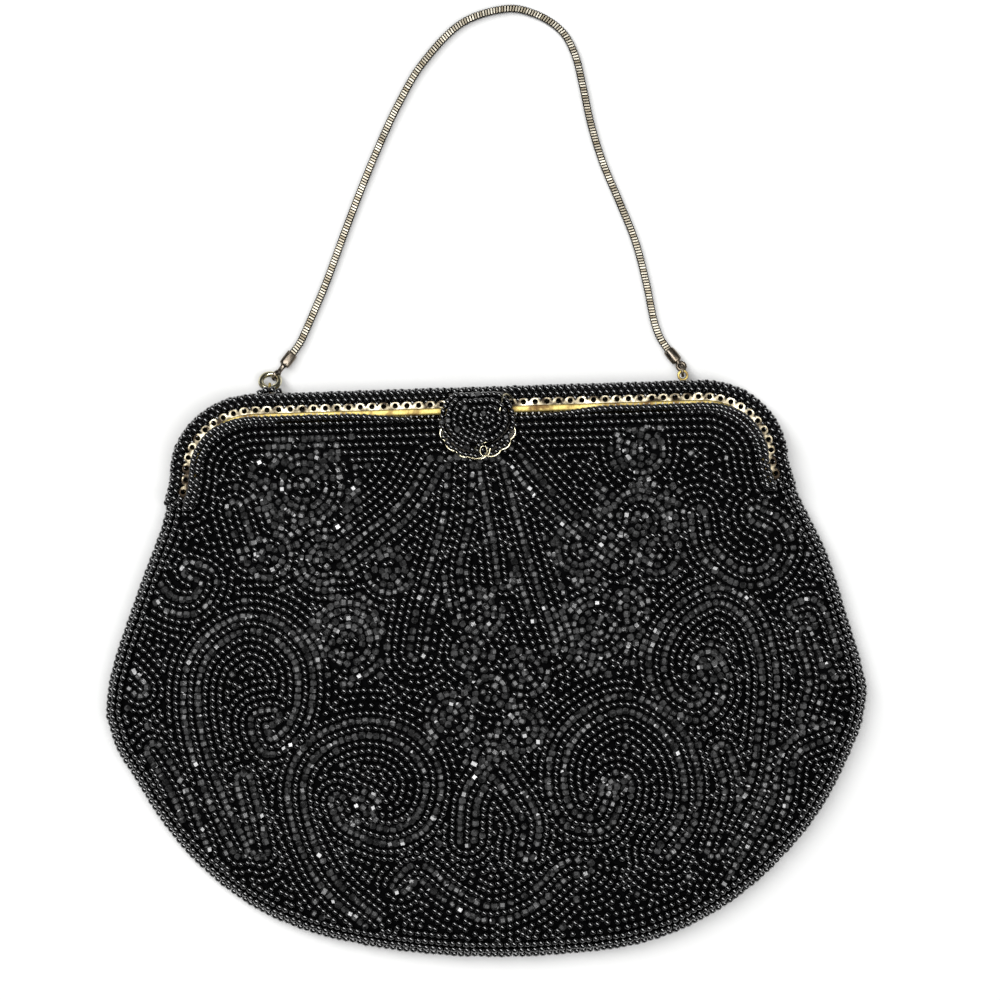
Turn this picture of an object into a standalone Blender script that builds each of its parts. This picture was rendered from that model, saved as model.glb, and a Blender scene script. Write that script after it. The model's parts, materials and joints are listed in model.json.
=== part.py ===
"""Beaded flapper purse lying on its back, chain handle laid out above it.

+X is to the right, +Y runs from the bag to the handle, +Z is up, out of the front of the bag.
The origin is on the flat of the back, where the purse rests. Lengths are in metres.
"""

import math

import bpy
from mathutils import Matrix, Vector

# Clearances between pieces
CLEARANCE = 0.0003
HALVES_GAP = 0.0003

# Frame, seen from the front
FRAME_HALF_WIDTH = 0.0930
FRAME_TOP = 0.0882
CORNER_ACROSS = 0.0260
CORNER_DOWN = 0.0240
LEG_LENGTH = 0.0064
LEG_SPLAY = 0.0016
CORNER_STEPS = 9
SHARPEST_MITRE = 0.5

# Frame, in section: depths run inwards from the outline, heights up from the closing plane
CLOSING_HEIGHT = 0.0068
STRIP_INSET = 0.0008
STRIP_THICKNESS = 0.0010
RAIL_WIDTH = 0.0021
RAIL_HEIGHT = 0.0059
RAIL_CHAMFER = 0.0004
ROLL_WIDTH = 0.0059
ROLL_HEIGHT = 0.0041

# Pierced gallery on the front rail
GALLERY_THICKNESS = 0.0005
GALLERY_DROP = 0.0002
GALLERY_REACH = 0.0027
GALLERY_END = 0.0012
SCALLOP_PITCH = 0.0035
SCALLOP_RISE = 0.0008
SCALLOP_CREST = (0.27, 0.73)
PIERCING_RADIUS = 0.0006
PIERCING_SIDES = 6

# Side pivots
PIVOT_RADIUS = 0.0011
PIVOT_LENGTH = 0.0048

# Bag
BAG_HALF_WIDTH = 0.1152
BAG_DROP = 0.1420
BAG_WALL = 0.0026
EDGE_ROUNDING = 0.0090
SEAM_HEIGHT_LOW = 0.0056
MOUTH_FRONT_RISE = 0.0052
MOUTH_BACK_LIFT = 0.0016
BACK_LIFT_LENGTH = 0.0130
BELLY_HEIGHT = 0.0125
BELLY_SPREAD = 0.0580
RIPPLE_HEIGHT = 0.0006
RIPPLE_LENGTH = 0.0520
SIDE_SHARE = 0.74
OUTLINE_STEP = 0.003
CORNER_MARGIN = 0.001

# Clasp
CLASP_AXIS_DEPTH = 0.0033
CLASP_AXIS_HEIGHT = 0.0075
CLASP_TILT = math.radians(3.0)
PIN_RADIUS = 0.0005
BARREL_RADIUS = 0.0013
BARREL_HALF_LENGTH = 0.0070
EAR_THICKNESS = 0.0010
EAR_HEAD = 0.0011
EAR_FOOT = 0.8
EAR_STEPS = 8
EAR_FIRST = 110.0
EAR_TURN = 30.0
FLANGE_HALF_WIDTH = 0.0117
FLANGE_LENGTH = 0.0190
FLANGE_MIDDLE = 0.49
FLANGE_THICKNESS = 0.0008
FLANGE_DROP = 0.0010
FLANGE_LOBES = 7
LOBE_RISE = 0.0007
ROSETTE_HALF_WIDTH = 0.0108
ROSETTE_LENGTH = 0.0172
ROSETTE_MIDDLE = 0.46
ROSETTE_OVERHANG = 0.0009
ROSETTE_HEIGHT = 0.0042

# Eyes, rings and the ends of the chain
EYE_POSITION = 0.0622
EYE_REACH = 0.0014
EYE_RADIUS = 0.00135
EYE_WIRE = 0.0004
LEFT_RING_RADIUS = 0.00285
LEFT_RING_WIRE = 0.00065
LEFT_RING_LEAN = math.radians(38.0)
LEFT_RING_GRIP = math.radians(50.0)
RIGHT_RING_RADIUS = 0.00160
RIGHT_RING_WIRE = 0.00042
RIGHT_RING_LEAN = math.radians(29.0)
RIGHT_RING_TURN = math.radians(6.0)
LOOP_GAP = 0.00035
LOOP_WIRE = 0.0004
NECK_RADIUS = 0.0006
END_RADIUS = 0.0016
END_LENGTH = 0.0044
END_FLATNESS = 0.70

# Chain handle
CHAIN_RADIUS = 0.0012
CHAIN_STEP = 0.0055
CHAIN_END_GAP = 0.0004

# Sides of the bag from the frame down to its widest place:
# down the bag (share of its drop), left flare and right flare (share of the bag's extra width)
FLARE_ROWS = (
    (0.000, 0.00, 0.00),
    (0.054, 0.06, 0.14),
    (0.104, 0.22, 0.31),
    (0.154, 0.36, 0.46),
    (0.230, 0.56, 0.62),
    (0.305, 0.76, 0.75),
    (0.380, 0.92, 0.90),
    (0.445, 1.00, 1.00),
)

# From there to the bottom: down the bag, left and right (share of the half width)
ROUND_ROWS = (
    (0.510, 0.985, 0.990),
    (0.585, 0.933, 0.950),
    (0.660, 0.882, 0.903),
    (0.740, 0.812, 0.835),
    (0.815, 0.725, 0.750),
    (0.880, 0.620, 0.655),
    (0.930, 0.495, 0.555),
    (0.965, 0.340, 0.455),
    (0.990, 0.150, 0.310),
)
LOWEST_POINT = (0.06, 1.0)

# Rise of the belly: down the bag (share of the way), height (share of the belly)
BELLY_ROWS = (
    (0.00, 0.00),
    (0.10, 0.09),
    (0.20, 0.34),
    (0.35, 0.78),
    (0.50, 1.00),
    (0.66, 0.98),
    (0.80, 0.82),
    (0.92, 0.50),
    (1.00, 0.00),
)

# Where the bag's rows and outermost columns lie, closer together where its edge turns
BAG_ROWS = (0.0, 0.05, 0.12, 0.21, 0.31, 0.41, 0.51, 0.61, 0.71, 0.80, 0.88, 0.94, 0.972, 0.990, 1.0)
LINING_ROWS = (0.0, 0.12, 0.31, 0.51, 0.71, 0.88, 0.972, 1.0)
EDGE_COLUMNS = (0.0, 0.07, 0.25, 0.55)
TOP_COLUMNS = 14

# Section of the beaded roll: depth (share of its width), height (share of its height)
ROLL_SECTION = (
    (1.00, 0.00),
    (0.15, 0.00),
    (0.03, 0.20),
    (0.00, 0.45),
    (0.05, 0.72),
    (0.18, 0.92),
    (0.36, 1.00),
    (0.53, 0.90),
    (0.74, 0.78),
    (1.00, 0.56),
)

# Outline of the clasp's rose from its top edge: along (share of its length), width (share)
ROSETTE_OUTLINE = (
    (0.00, 0.72),
    (0.10, 0.80),
    (0.30, 0.94),
    (0.50, 1.00),
    (0.68, 0.88),
    (0.84, 0.62),
    (0.95, 0.34),
)

# Rings of the rose: size of the ring and height, as shares
ROSETTE_RINGS = ((1.00, 0.00), (0.99, 0.30), (0.90, 0.66), (0.70, 0.95), (0.45, 1.00), (0.22, 0.72))

# Route of the chain on the surface, left end to right end, chosen by hand (x, y, height)
CHAIN_ROUTE = (
    (-0.0550, 0.1004, 0.00190),
    (-0.0527, 0.1037, 0.00155),
    (-0.0498, 0.1096, 0.00125),
    (-0.0444, 0.1214, 0.00125),
    (-0.0372, 0.1392, 0.00125),
    (-0.0322, 0.1510, 0.00125),
    (-0.0268, 0.1629, 0.00125),
    (-0.0208, 0.1747, 0.00125),
    (-0.0133, 0.1865, 0.00125),
    (-0.0014, 0.1981, 0.00125),
    (0.0120, 0.2022, 0.00125),
    (0.0212, 0.2004, 0.00125),
    (0.0288, 0.1953, 0.00125),
    (0.0328, 0.1880, 0.00125),
    (0.0350, 0.1780, 0.00125),
    (0.0370, 0.1669, 0.00125),
    (0.0403, 0.1548, 0.00125),
    (0.0450, 0.1426, 0.00125),
    (0.0494, 0.1305, 0.00125),
    (0.0522, 0.1184, 0.00125),
    (0.0541, 0.1072, 0.00150),
    (0.0558, 0.1015, 0.00215),
    (0.0580, 0.0978, 0.00295),
)

ALONG_X = Vector((1.0, 0.0, 0.0))
ALONG_Z = Vector((0.0, 0.0, 1.0))


# Lines in the plan

def lerp(start, end, share):
    return start + (end - start) * share


def table_value(rows, key):
    """Value of a two-column table at a key between its rows."""
    for (low, first), (high, second) in zip(rows, rows[1:]):
        if key <= high:
            return lerp(first, second, (key - low) / (high - low))
    return rows[-1][1]


def ease(share):
    share = min(max(share, 0.0), 1.0)
    return share * share * (3.0 - 2.0 * share)


def smooth_line(points, spacing):
    """Points about one spacing apart on the smooth curve through the given points."""
    padded = [points[0] * 2 - points[1]] + list(points) + [points[-1] * 2 - points[-2]]
    line = [points[0].copy()]
    for before, start, end, after in zip(padded, padded[1:], padded[2:], padded[3:]):
        steps = max(1, round((end - start).length / spacing))
        for step in range(1, steps + 1):
            t = step / steps
            line.append(0.5 * (2 * start + (end - before) * t
                               + (2 * before - 5 * start + 4 * end - after) * t * t
                               + (3 * start - before - 3 * end + after) * t ** 3))
    return line


def offset_line(line, distance):
    """The line moved to its right by a distance, keeping its number of points."""
    moved = []
    for index, point in enumerate(line):
        first = line[max(index - 1, 0)]
        last = line[min(index + 1, len(line) - 1)]
        into = (point - first).normalized() if index > 0 else (last - point).normalized()
        out = (last - point).normalized() if index < len(line) - 1 else into
        along = (into + out).normalized()
        right = Vector((along.y, -along.x, 0.0))
        moved.append(point + right * (distance / max(along.dot(out), SHARPEST_MITRE)))
    return moved


def frame_line(top_parts=1):
    """Outer outline of the frame from the left leg's end, over the top, to the right leg's end."""
    corner_y = FRAME_TOP - CORNER_DOWN
    corner_x = FRAME_HALF_WIDTH - CORNER_ACROSS
    right = [Vector((FRAME_HALF_WIDTH + LEG_SPLAY, corner_y - LEG_LENGTH, 0.0))]
    for step in range(CORNER_STEPS + 1):
        angle = math.pi / 2 * step / CORNER_STEPS
        right.append(Vector((corner_x + CORNER_ACROSS * math.cos(angle),
                             corner_y + CORNER_DOWN * math.sin(angle), 0.0)))
    left = [Vector((-point.x, point.y, 0.0)) for point in right]
    top = [lerp(left[-1], right[-1], part / top_parts) for part in range(1, top_parts)]
    return left + top + right[::-1]


def inside_frame(depth, top_parts=1):
    """The frame's line moved inwards by a depth, with both legs cut off level."""
    line = offset_line(frame_line(top_parts), depth)
    reach = LEG_END_X - depth * math.hypot(LEG_SPLAY, LEG_LENGTH) / LEG_LENGTH
    line[0] = Vector((-reach, LEG_END_Y, 0.0))
    line[-1] = Vector((reach, LEG_END_Y, 0.0))
    return line


LEG_END_X = FRAME_HALF_WIDTH + LEG_SPLAY
LEG_END_Y = FRAME_TOP - CORNER_DOWN - LEG_LENGTH
RAIL_DEPTH = ROLL_WIDTH + CLEARANCE
MOUTH_DEPTH = RAIL_DEPTH + RAIL_WIDTH + CLEARANCE
BAG_TOP = LEG_END_Y - CLEARANCE
STRIP_LOW = HALVES_GAP / 2
STRIP_HIGH = STRIP_LOW + STRIP_THICKNESS
ROLL_LOW = STRIP_HIGH + CLEARANCE


# Solids

def new_object(name, points, faces):
    mesh = bpy.data.meshes.new(name)
    mesh.from_pydata([tuple(point) for point in points], [], faces)
    mesh.validate()
    solid = bpy.data.objects.new(name, mesh)
    bpy.context.collection.objects.link(solid)
    face_outwards(solid)
    return solid


def activate(solid):
    bpy.ops.object.select_all(action="DESELECT")
    bpy.context.view_layer.objects.active = solid
    solid.select_set(True)


def face_outwards(solid):
    activate(solid)
    bpy.ops.object.mode_set(mode="EDIT")
    bpy.ops.mesh.select_all(action="SELECT")
    bpy.ops.mesh.normals_make_consistent(inside=False)
    bpy.ops.object.mode_set(mode="OBJECT")


def combine(solid, other, operation="UNION"):
    """Join a second closed shape to the solid, or cut it out of it."""
    change = solid.modifiers.new(operation.title(), "BOOLEAN")
    change.operation = operation
    change.solver = "EXACT"
    change.object = other
    activate(solid)
    bpy.ops.object.modifier_apply(modifier=change.name)
    bpy.data.objects.remove(other)


def ring_stack(name, rings):
    """Closed solid through rings of points, with a flat cap at each end."""
    count = len(rings[0])
    points = [point for ring in rings for point in ring]
    faces = [list(range(count))[::-1], list(range(len(points) - count, len(points)))]
    for ring in range(len(rings) - 1):
        for index in range(count):
            after = (index + 1) % count
            faces.append((ring * count + index, ring * count + after,
                          (ring + 1) * count + after, (ring + 1) * count + index))
    return new_object(name, points, faces)


def sweep(name, section, side=1):
    """Section of (depth, height above the closing plane) points carried round the frame."""
    columns = []
    for depth, height in section:
        z = CLOSING_HEIGHT + side * height
        columns.append([Vector((point.x, point.y, z)) for point in inside_frame(depth)])
    return ring_stack(name, list(zip(*columns)))


def slab(name, points, faces, low, high):
    """Flat piece from plan points and the faces between them, with a thickness along Z."""
    count = len(points)
    corners = [Vector((x, y, low)) for x, y in points] + [Vector((x, y, high)) for x, y in points]
    edges = {}
    for face in faces:
        for start, end in zip(face, face[1:] + face[:1]):
            edges[(start, end)] = (end, start)
    walls = [(end, start, start + count, end + count)
             for (start, end), twin in edges.items() if twin not in edges]
    top = [tuple(index + count for index in face) for face in faces]
    bottom = [tuple(face[::-1]) for face in faces]
    return new_object(name, corners, bottom + top + walls)


def polygon_slab(name, points, low, high):
    return slab(name, points, [list(range(len(points)))], low, high)


def rod(name, start, end, radius, sides=12, flatness=1.0):
    """Straight rod between two points; flatness squeezes its section towards the plan."""
    along = (end - start).normalized()
    across = along.cross(ALONG_Z).normalized()
    up = across.cross(along)
    rings = []
    for centre in (start, end):
        ring = []
        for side in range(sides):
            angle = 2 * math.pi * (side + 0.5) / sides
            ring.append(centre + across * (radius * math.cos(angle))
                        + up * (radius * flatness * math.sin(angle)))
        rings.append(ring)
    return ring_stack(name, rings)


def wire_ring(name, centre, axis, radius, wire, segments=14, sides=6):
    turn = axis.to_track_quat("Z", "Y").to_matrix().to_4x4()
    bpy.ops.mesh.primitive_torus_add(major_segments=segments, minor_segments=sides,
                                     major_radius=radius, minor_radius=wire)
    ring = bpy.context.object
    ring.name = name
    ring.data.transform(Matrix.Translation(centre) @ turn)
    return ring


def finish(solid, material, smooth_angle=35.0):
    solid.data.materials.clear()
    solid.data.materials.append(material)
    solid.data.shade_smooth()
    solid.data.set_sharp_from_angle(angle=math.radians(smooth_angle))
    return solid


def make_material(name, colour, roughness, metallic=0.0):
    material = bpy.data.materials.new(name)
    material.use_nodes = True
    shader = material.node_tree.nodes["Principled BSDF"]
    shader.inputs["Base Color"].default_value = (*colour, 1.0)
    shader.inputs["Roughness"].default_value = roughness
    shader.inputs["Metallic"].default_value = metallic
    return material


# Frame

def half_section():
    """Channel of one frame half: a flat strip with the rail standing on its inner edge."""
    rail_end = RAIL_DEPTH + RAIL_WIDTH
    return ((STRIP_INSET, STRIP_LOW), (rail_end, STRIP_LOW),
            (rail_end, RAIL_HEIGHT - RAIL_CHAMFER), (rail_end - RAIL_CHAMFER, RAIL_HEIGHT),
            (RAIL_DEPTH + RAIL_CHAMFER, RAIL_HEIGHT), (RAIL_DEPTH, RAIL_HEIGHT - RAIL_CHAMFER),
            (RAIL_DEPTH, STRIP_HIGH), (STRIP_INSET, STRIP_HIGH))


def pivot_centre(side):
    middle = LEG_END_X - STRIP_INSET - PIVOT_LENGTH / 2
    return Vector((side * middle, LEG_END_Y + CLEARANCE + PIVOT_RADIUS, CLOSING_HEIGHT))


def cut_pivot_space(half):
    """Both strips stop short of the side pivots."""
    for side in (-1, 1):
        centre = pivot_centre(side)
        reach = PIVOT_LENGTH / 2 + CLEARANCE
        top = centre.y + PIVOT_RADIUS + CLEARANCE
        inner = centre.x - side * reach
        outer = side * (LEG_END_X + CLEARANCE)
        below = LEG_END_Y - PIVOT_RADIUS
        corners = [(inner, below), (outer, below), (outer, top), (inner, top)]
        height = STRIP_HIGH + CLEARANCE / 2
        cutter = polygon_slab("pivot_space", corners[::side], CLOSING_HEIGHT - height,
                              CLOSING_HEIGHT + height)
        combine(half, cutter, "DIFFERENCE")


def along_line(line, distance):
    """Place on a line at a distance from its start, and the direction to its right there."""
    for start, end in zip(line, line[1:]):
        length = (end - start).length
        if distance <= length or end is line[-1]:
            along = (end - start).normalized()
            return start + along * distance, Vector((along.y, -along.x, 0.0))
        distance -= length


def gallery():
    """Strip of pierced scallops that lies over the roll, joined to the rail along its inner edge."""
    outer = RAIL_DEPTH - GALLERY_REACH
    inner = RAIL_DEPTH + RAIL_CHAMFER
    middle = (outer + inner) / 2
    fine_corners = smooth_line(inside_frame(middle, TOP_COLUMNS), SCALLOP_PITCH / 2)
    length = sum((end - start).length for start, end in zip(fine_corners, fine_corners[1:]))
    length -= 2 * GALLERY_END
    scallops = round(length / SCALLOP_PITCH)
    pitch = length / scallops
    hole_depth = outer + SCALLOP_RISE + PIERCING_RADIUS
    rim = [(share, outer) for share in SCALLOP_CREST]
    points = []
    faces = []

    def add(distance, depth):
        place, right = along_line(fine_corners, distance)
        place = place + right * (depth - middle)
        points.append((place.x, place.y))
        return len(points) - 1

    start_pair = [add(GALLERY_END, inner), add(GALLERY_END, outer + SCALLOP_RISE)]
    for scallop in range(scallops):
        start = GALLERY_END + scallop * pitch
        crest = [add(start + share * pitch, depth) for share, depth in rim]
        end_pair = [add(start + pitch, outer + SCALLOP_RISE), add(start + pitch, inner)]
        border = start_pair + crest + end_pair
        hole = []
        for corner in range(PIERCING_SIDES):
            angle = -2 * math.pi * (corner + 2) / PIERCING_SIDES
            hole.append(add(start + pitch / 2 + PIERCING_RADIUS * math.cos(angle),
                            hole_depth - PIERCING_RADIUS * math.sin(angle)))
        for corner in range(PIERCING_SIDES):
            after = (corner + 1) % PIERCING_SIDES
            faces.append([border[corner], hole[corner], hole[after], border[after]])
        start_pair = end_pair[::-1]
    top = CLOSING_HEIGHT + RAIL_HEIGHT - GALLERY_DROP
    return slab("gallery", points, faces, top - GALLERY_THICKNESS, top)


def clasp_axis():
    return Vector((0.0, FRAME_TOP - CLASP_AXIS_DEPTH, CLOSING_HEIGHT + CLASP_AXIS_HEIGHT))


def add_clasp_ears(half):
    """Two ears that lean from the rail over the roll, and the pin between them."""
    axis = clasp_axis()
    foot = CLOSING_HEIGHT + RAIL_HEIGHT - RAIL_CHAMFER - axis.z
    rail_y = CLASP_AXIS_DEPTH - RAIL_DEPTH
    foot_end = rail_y - RAIL_WIDTH * EAR_FOOT
    profile = [(foot_end, foot), (foot_end, foot + EAR_HEAD)]
    for step in range(EAR_STEPS):
        angle = math.radians(EAR_FIRST - EAR_TURN * step)
        profile.append((EAR_HEAD * math.cos(angle), EAR_HEAD * math.sin(angle)))
    profile.append((rail_y, foot))
    inner = BARREL_HALF_LENGTH + CLEARANCE
    upright = Matrix(((0, 0, 1, 0), (1, 0, 0, 0), (0, 1, 0, 0), (0, 0, 0, 1)))
    for side in (-1, 1):
        low, high = sorted((side * inner, side * (inner + EAR_THICKNESS)))
        ear = polygon_slab("ear", profile[::-1], low, high)
        ear.data.transform(Matrix.Translation(axis) @ upright)
        combine(half, ear)
    reach = ALONG_X * (inner + EAR_THICKNESS / 2)
    combine(half, rod("pin", axis - reach, axis + reach, PIN_RADIUS, sides=10))


def eye_centre(side):
    height = CLOSING_HEIGHT - (STRIP_LOW + STRIP_HIGH) / 2
    return Vector((side * EYE_POSITION, FRAME_TOP + EYE_REACH, height))


def add_eyes(half):
    """Soldered eyes for the handle's rings; the left one stands upright, the right one lies flat."""
    for side, axis in ((-1, ALONG_X), (1, ALONG_Z)):
        centre = eye_centre(side)
        eye = wire_ring("eye", centre, axis, EYE_RADIUS, EYE_WIRE, segments=12)
        stem_start = Vector((centre.x, FRAME_TOP - STRIP_INSET * 2, centre.z))
        stem_end = Vector((centre.x, centre.y - EYE_RADIUS, centre.z))
        combine(eye, rod("stem", stem_start, stem_end, EYE_WIRE, sides=6))
        combine(half, eye)


def make_frame(metal, gold):
    front = sweep("frame_front", half_section())
    combine(front, gallery())
    add_clasp_ears(front)
    back = sweep("frame_back", half_section(), side=-1)
    add_eyes(back)
    for half in (front, back):
        cut_pivot_space(half)
        finish(half, gold)
    for name, side in (("pivot_left", -1), ("pivot_right", 1)):
        reach = ALONG_X * (PIVOT_LENGTH / 2)
        centre = pivot_centre(side)
        finish(rod(name, centre - reach, centre + reach, PIVOT_RADIUS), metal)


def make_rolls(cloth):
    section = [(depth * ROLL_WIDTH, ROLL_LOW + height * ROLL_HEIGHT) for depth, height in ROLL_SECTION]
    for name, side in (("cover_front", 1), ("cover_back", -1)):
        finish(sweep(name, section, side), cloth, smooth_angle=60.0)


# Bag

def bag_outline(inset):
    """Plan of the bag's edge from the left leg, round the bottom, to the right leg."""
    left = []
    right = []
    flare = BAG_HALF_WIDTH - LEG_END_X
    for down, left_share, right_share in FLARE_ROWS:
        y = BAG_TOP - down * BAG_DROP
        left.append(Vector((-LEG_END_X - left_share * flare, y, 0.0)))
        right.append(Vector((LEG_END_X + right_share * flare, y, 0.0)))
    for down, left_share, right_share in ROUND_ROWS:
        y = BAG_TOP - down * BAG_DROP
        left.append(Vector((-left_share * BAG_HALF_WIDTH, y, 0.0)))
        right.append(Vector((right_share * BAG_HALF_WIDTH, y, 0.0)))
    across, down = LOWEST_POINT
    lowest = Vector((across * BAG_HALF_WIDTH, BAG_TOP - down * BAG_DROP, 0.0))
    line = smooth_line(left + [lowest] + right[::-1], OUTLINE_STEP)
    return offset_line(line, -inset)


def line_value(line, key, known, wanted):
    """Coordinate of a line at a known value of its other coordinate."""
    for start, end in zip(line, line[1:]):
        low, high = sorted((start[known], end[known]))
        if low <= key <= high and high > low:
            return lerp(start[wanted], end[wanted], (key - start[known]) / (end[known] - start[known]))
    nearest = min(line, key=lambda point: abs(point[known] - key))
    return nearest[wanted]


def distance_to_line(point, line):
    best = math.inf
    for start, end in zip(line, line[1:]):
        along = end - start
        share = min(max((point - start).dot(along) / along.length_squared, 0.0), 1.0)
        best = min(best, (start + along * share - point).length)
    return best


def mouth_line(inset):
    """Rim of the bag: under the leg's end, up inside the leg and along under the rail."""
    inside = inside_frame(MOUTH_DEPTH, TOP_COLUMNS)
    edge = LEG_END_X - inset
    leg = inside[-1].x
    right = [Vector((lerp(edge, leg, share), BAG_TOP, 0.0)) for share in EDGE_COLUMNS]
    left = [Vector((-point.x, point.y, 0.0)) for point in right]
    return left + inside + right[::-1]


def bag_sheets(inset, rows):
    """Front and back of one skin of the bag, as rows of points from the mouth to the bottom seam."""
    edge = bag_outline(inset)
    corner_y = BAG_TOP - SIDE_SHARE * BAG_DROP
    lowest = min(range(len(edge)), key=lambda index: edge[index].y)
    left_side = edge[:lowest + 1]
    right_side = edge[lowest:]
    corner_left = line_value(left_side, corner_y, 1, 0)
    corner_right = line_value(right_side, corner_y, 1, 0)
    bottom = [point for point in edge if point.y <= corner_y + CORNER_MARGIN]
    mouth = mouth_line(inset)
    rounding = EDGE_ROUNDING - inset
    front = []
    back = []
    for row in rows:
        front_row = []
        back_row = []
        side_y = lerp(BAG_TOP, corner_y, row)
        for rim in mouth:
            share = (rim.x - mouth[0].x) / (mouth[-1].x - mouth[0].x)
            bottom_x = lerp(corner_left, corner_right, share)
            y = lerp(rim.y, line_value(bottom, bottom_x, 0, 1), row)
            # between the legs the bag keeps its width, and it spreads only below them
            spread_y = min(max(side_y, y), BAG_TOP)
            left_x = line_value(left_side, spread_y, 1, 0)
            right_x = line_value(right_side, spread_y, 1, 0)
            x = lerp(left_x, right_x, share)
            place = Vector((x, y, 0.0))
            on_edge = row == 1.0 or rim is mouth[0] or rim is mouth[-1]
            from_edge = 0.0 if on_edge else distance_to_line(place, edge)
            turn = math.sqrt(1.0 - (1.0 - min(from_edge / rounding, 1.0)) ** 2)
            seam = lerp(CLOSING_HEIGHT, SEAM_HEIGHT_LOW, ease(row))
            belly = BELLY_HEIGHT * table_value(BELLY_ROWS, row) * ease(from_edge / BELLY_SPREAD)
            ripple = math.sin(x / RIPPLE_LENGTH * 2 * math.pi + y / RIPPLE_LENGTH * 3)
            belly += RIPPLE_HEIGHT * ripple * ease(row * 4) * ease(from_edge / BELLY_SPREAD)
            lift = MOUTH_BACK_LIFT * (1.0 - ease((rim.y - y) / BACK_LIFT_LENGTH))
            front_row.append(Vector((x, y, seam + (MOUTH_FRONT_RISE - inset) * turn + belly)))
            back_row.append(Vector((x, y, seam - (seam - inset - lift) * turn)))
        front.append(front_row)
        back.append(back_row)
    return front, back


def add_sheet(points, faces, index_of, sheet, reverse):
    """Add a sheet's quads, using one index for points that two sheets share."""
    def index(point):
        key = tuple(round(value, 7) for value in point)
        if key not in index_of:
            index_of[key] = len(points)
            points.append(point)
        return index_of[key]

    for upper, lower in zip(sheet, sheet[1:]):
        for column in range(len(upper) - 1):
            corners = [upper[column], lower[column], lower[column + 1], upper[column + 1]]
            face = []
            for corner in corners:
                found = index(corner)
                if found not in face:
                    face.append(found)
            if len(face) > 2:
                faces.append(face[::-1] if reverse else face)


def make_bag(cloth):
    outer_front, outer_back = bag_sheets(0.0, BAG_ROWS)
    inner_front, inner_back = bag_sheets(BAG_WALL, LINING_ROWS)
    points = []
    faces = []
    index_of = {}
    add_sheet(points, faces, index_of, outer_front, False)
    add_sheet(points, faces, index_of, outer_back, True)
    add_sheet(points, faces, index_of, inner_front, True)
    add_sheet(points, faces, index_of, inner_back, False)
    add_sheet(points, faces, index_of, [inner_front[0], outer_front[0]], False)
    add_sheet(points, faces, index_of, [inner_back[0], outer_back[0]], True)
    finish(new_object("pouch", points, faces), cloth, smooth_angle=60.0)


# Clasp

def flange_outline():
    """Top edge between the ears, then round shoulders and a scalloped lower edge."""
    shoulder = RAIL_DEPTH + RAIL_WIDTH - CLASP_AXIS_DEPTH
    neck = BARREL_HALF_LENGTH - CLEARANCE
    middle = -FLANGE_LENGTH * FLANGE_MIDDLE
    rise = FLANGE_LENGTH + middle
    steps = FLANGE_LOBES * 4
    points = [(-neck, 0.0), (-neck, -shoulder)]
    for step in range(steps + 1):
        angle = math.pi * (1 + step / steps)
        lobe = LOBE_RISE * (abs(math.sin(math.pi * step / 4)) - 1.0)
        points.append(((FLANGE_HALF_WIDTH + lobe) * math.cos(angle),
                       middle + (rise + lobe) * math.sin(angle)))
    return points + [(neck, -shoulder), (neck, 0.0)]


def make_clasp(silver, beads):
    """Plate and rose turn together on the pin; both hang from one point on its axis."""
    hinge = bpy.data.objects.new("clasp_hinge", None)
    hinge.location = clasp_axis()
    hinge.rotation_euler = (-CLASP_TILT, 0.0, 0.0)
    bpy.context.collection.objects.link(hinge)

    plate = polygon_slab("clasp_plate", flange_outline(), -FLANGE_DROP, FLANGE_THICKNESS - FLANGE_DROP)
    outline = rose_outline(1.0 - CLEARANCE * 4 / ROSETTE_HALF_WIDTH)
    neck = BARREL_HALF_LENGTH - CLEARANCE * 2
    box = [(min(max(x, -neck), neck) if y > -RAIL_DEPTH else x, y) for x, y in outline if y < 0.0]
    combine(plate, polygon_slab("box", box, FLANGE_THICKNESS / 2 - FLANGE_DROP, BARREL_RADIUS))
    reach = ALONG_X * BARREL_HALF_LENGTH
    combine(plate, rod("barrel", -reach, reach, BARREL_RADIUS))
    combine(plate, rod("bore", -2 * reach, 2 * reach, PIN_RADIUS + CLEARANCE), "DIFFERENCE")
    plate.parent = hinge
    finish(plate, silver)

    base = BARREL_RADIUS + CLEARANCE
    middle = rose_middle()
    rings = []
    for size, height in ROSETTE_RINGS:
        rings.append([Vector((x, lerp(middle, y, size), base + height * ROSETTE_HEIGHT))
                      for x, y in [(x * size, y) for x, y in rose_outline(1.0)]])
    rose = ring_stack("clasp_rosette", rings)
    rose.parent = hinge
    finish(rose, beads, smooth_angle=60.0)


def rose_middle():
    return ROSETTE_OVERHANG - ROSETTE_LENGTH * ROSETTE_MIDDLE


def rose_outline(scale):
    """Fan-shaped outline of the rose, anticlockwise from its top left corner."""
    left = []
    for along, width in ROSETTE_OUTLINE:
        left.append((-width * ROSETTE_HALF_WIDTH, ROSETTE_OVERHANG - along * ROSETTE_LENGTH))
    tip = [(0.0, ROSETTE_OVERHANG - ROSETTE_LENGTH)]
    whole = left + tip + [(-x, y) for x, y in left[::-1]]
    middle = rose_middle()
    return [(x * scale, middle + (y - middle) * scale) for x, y in whole]


# Rings and chain

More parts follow.
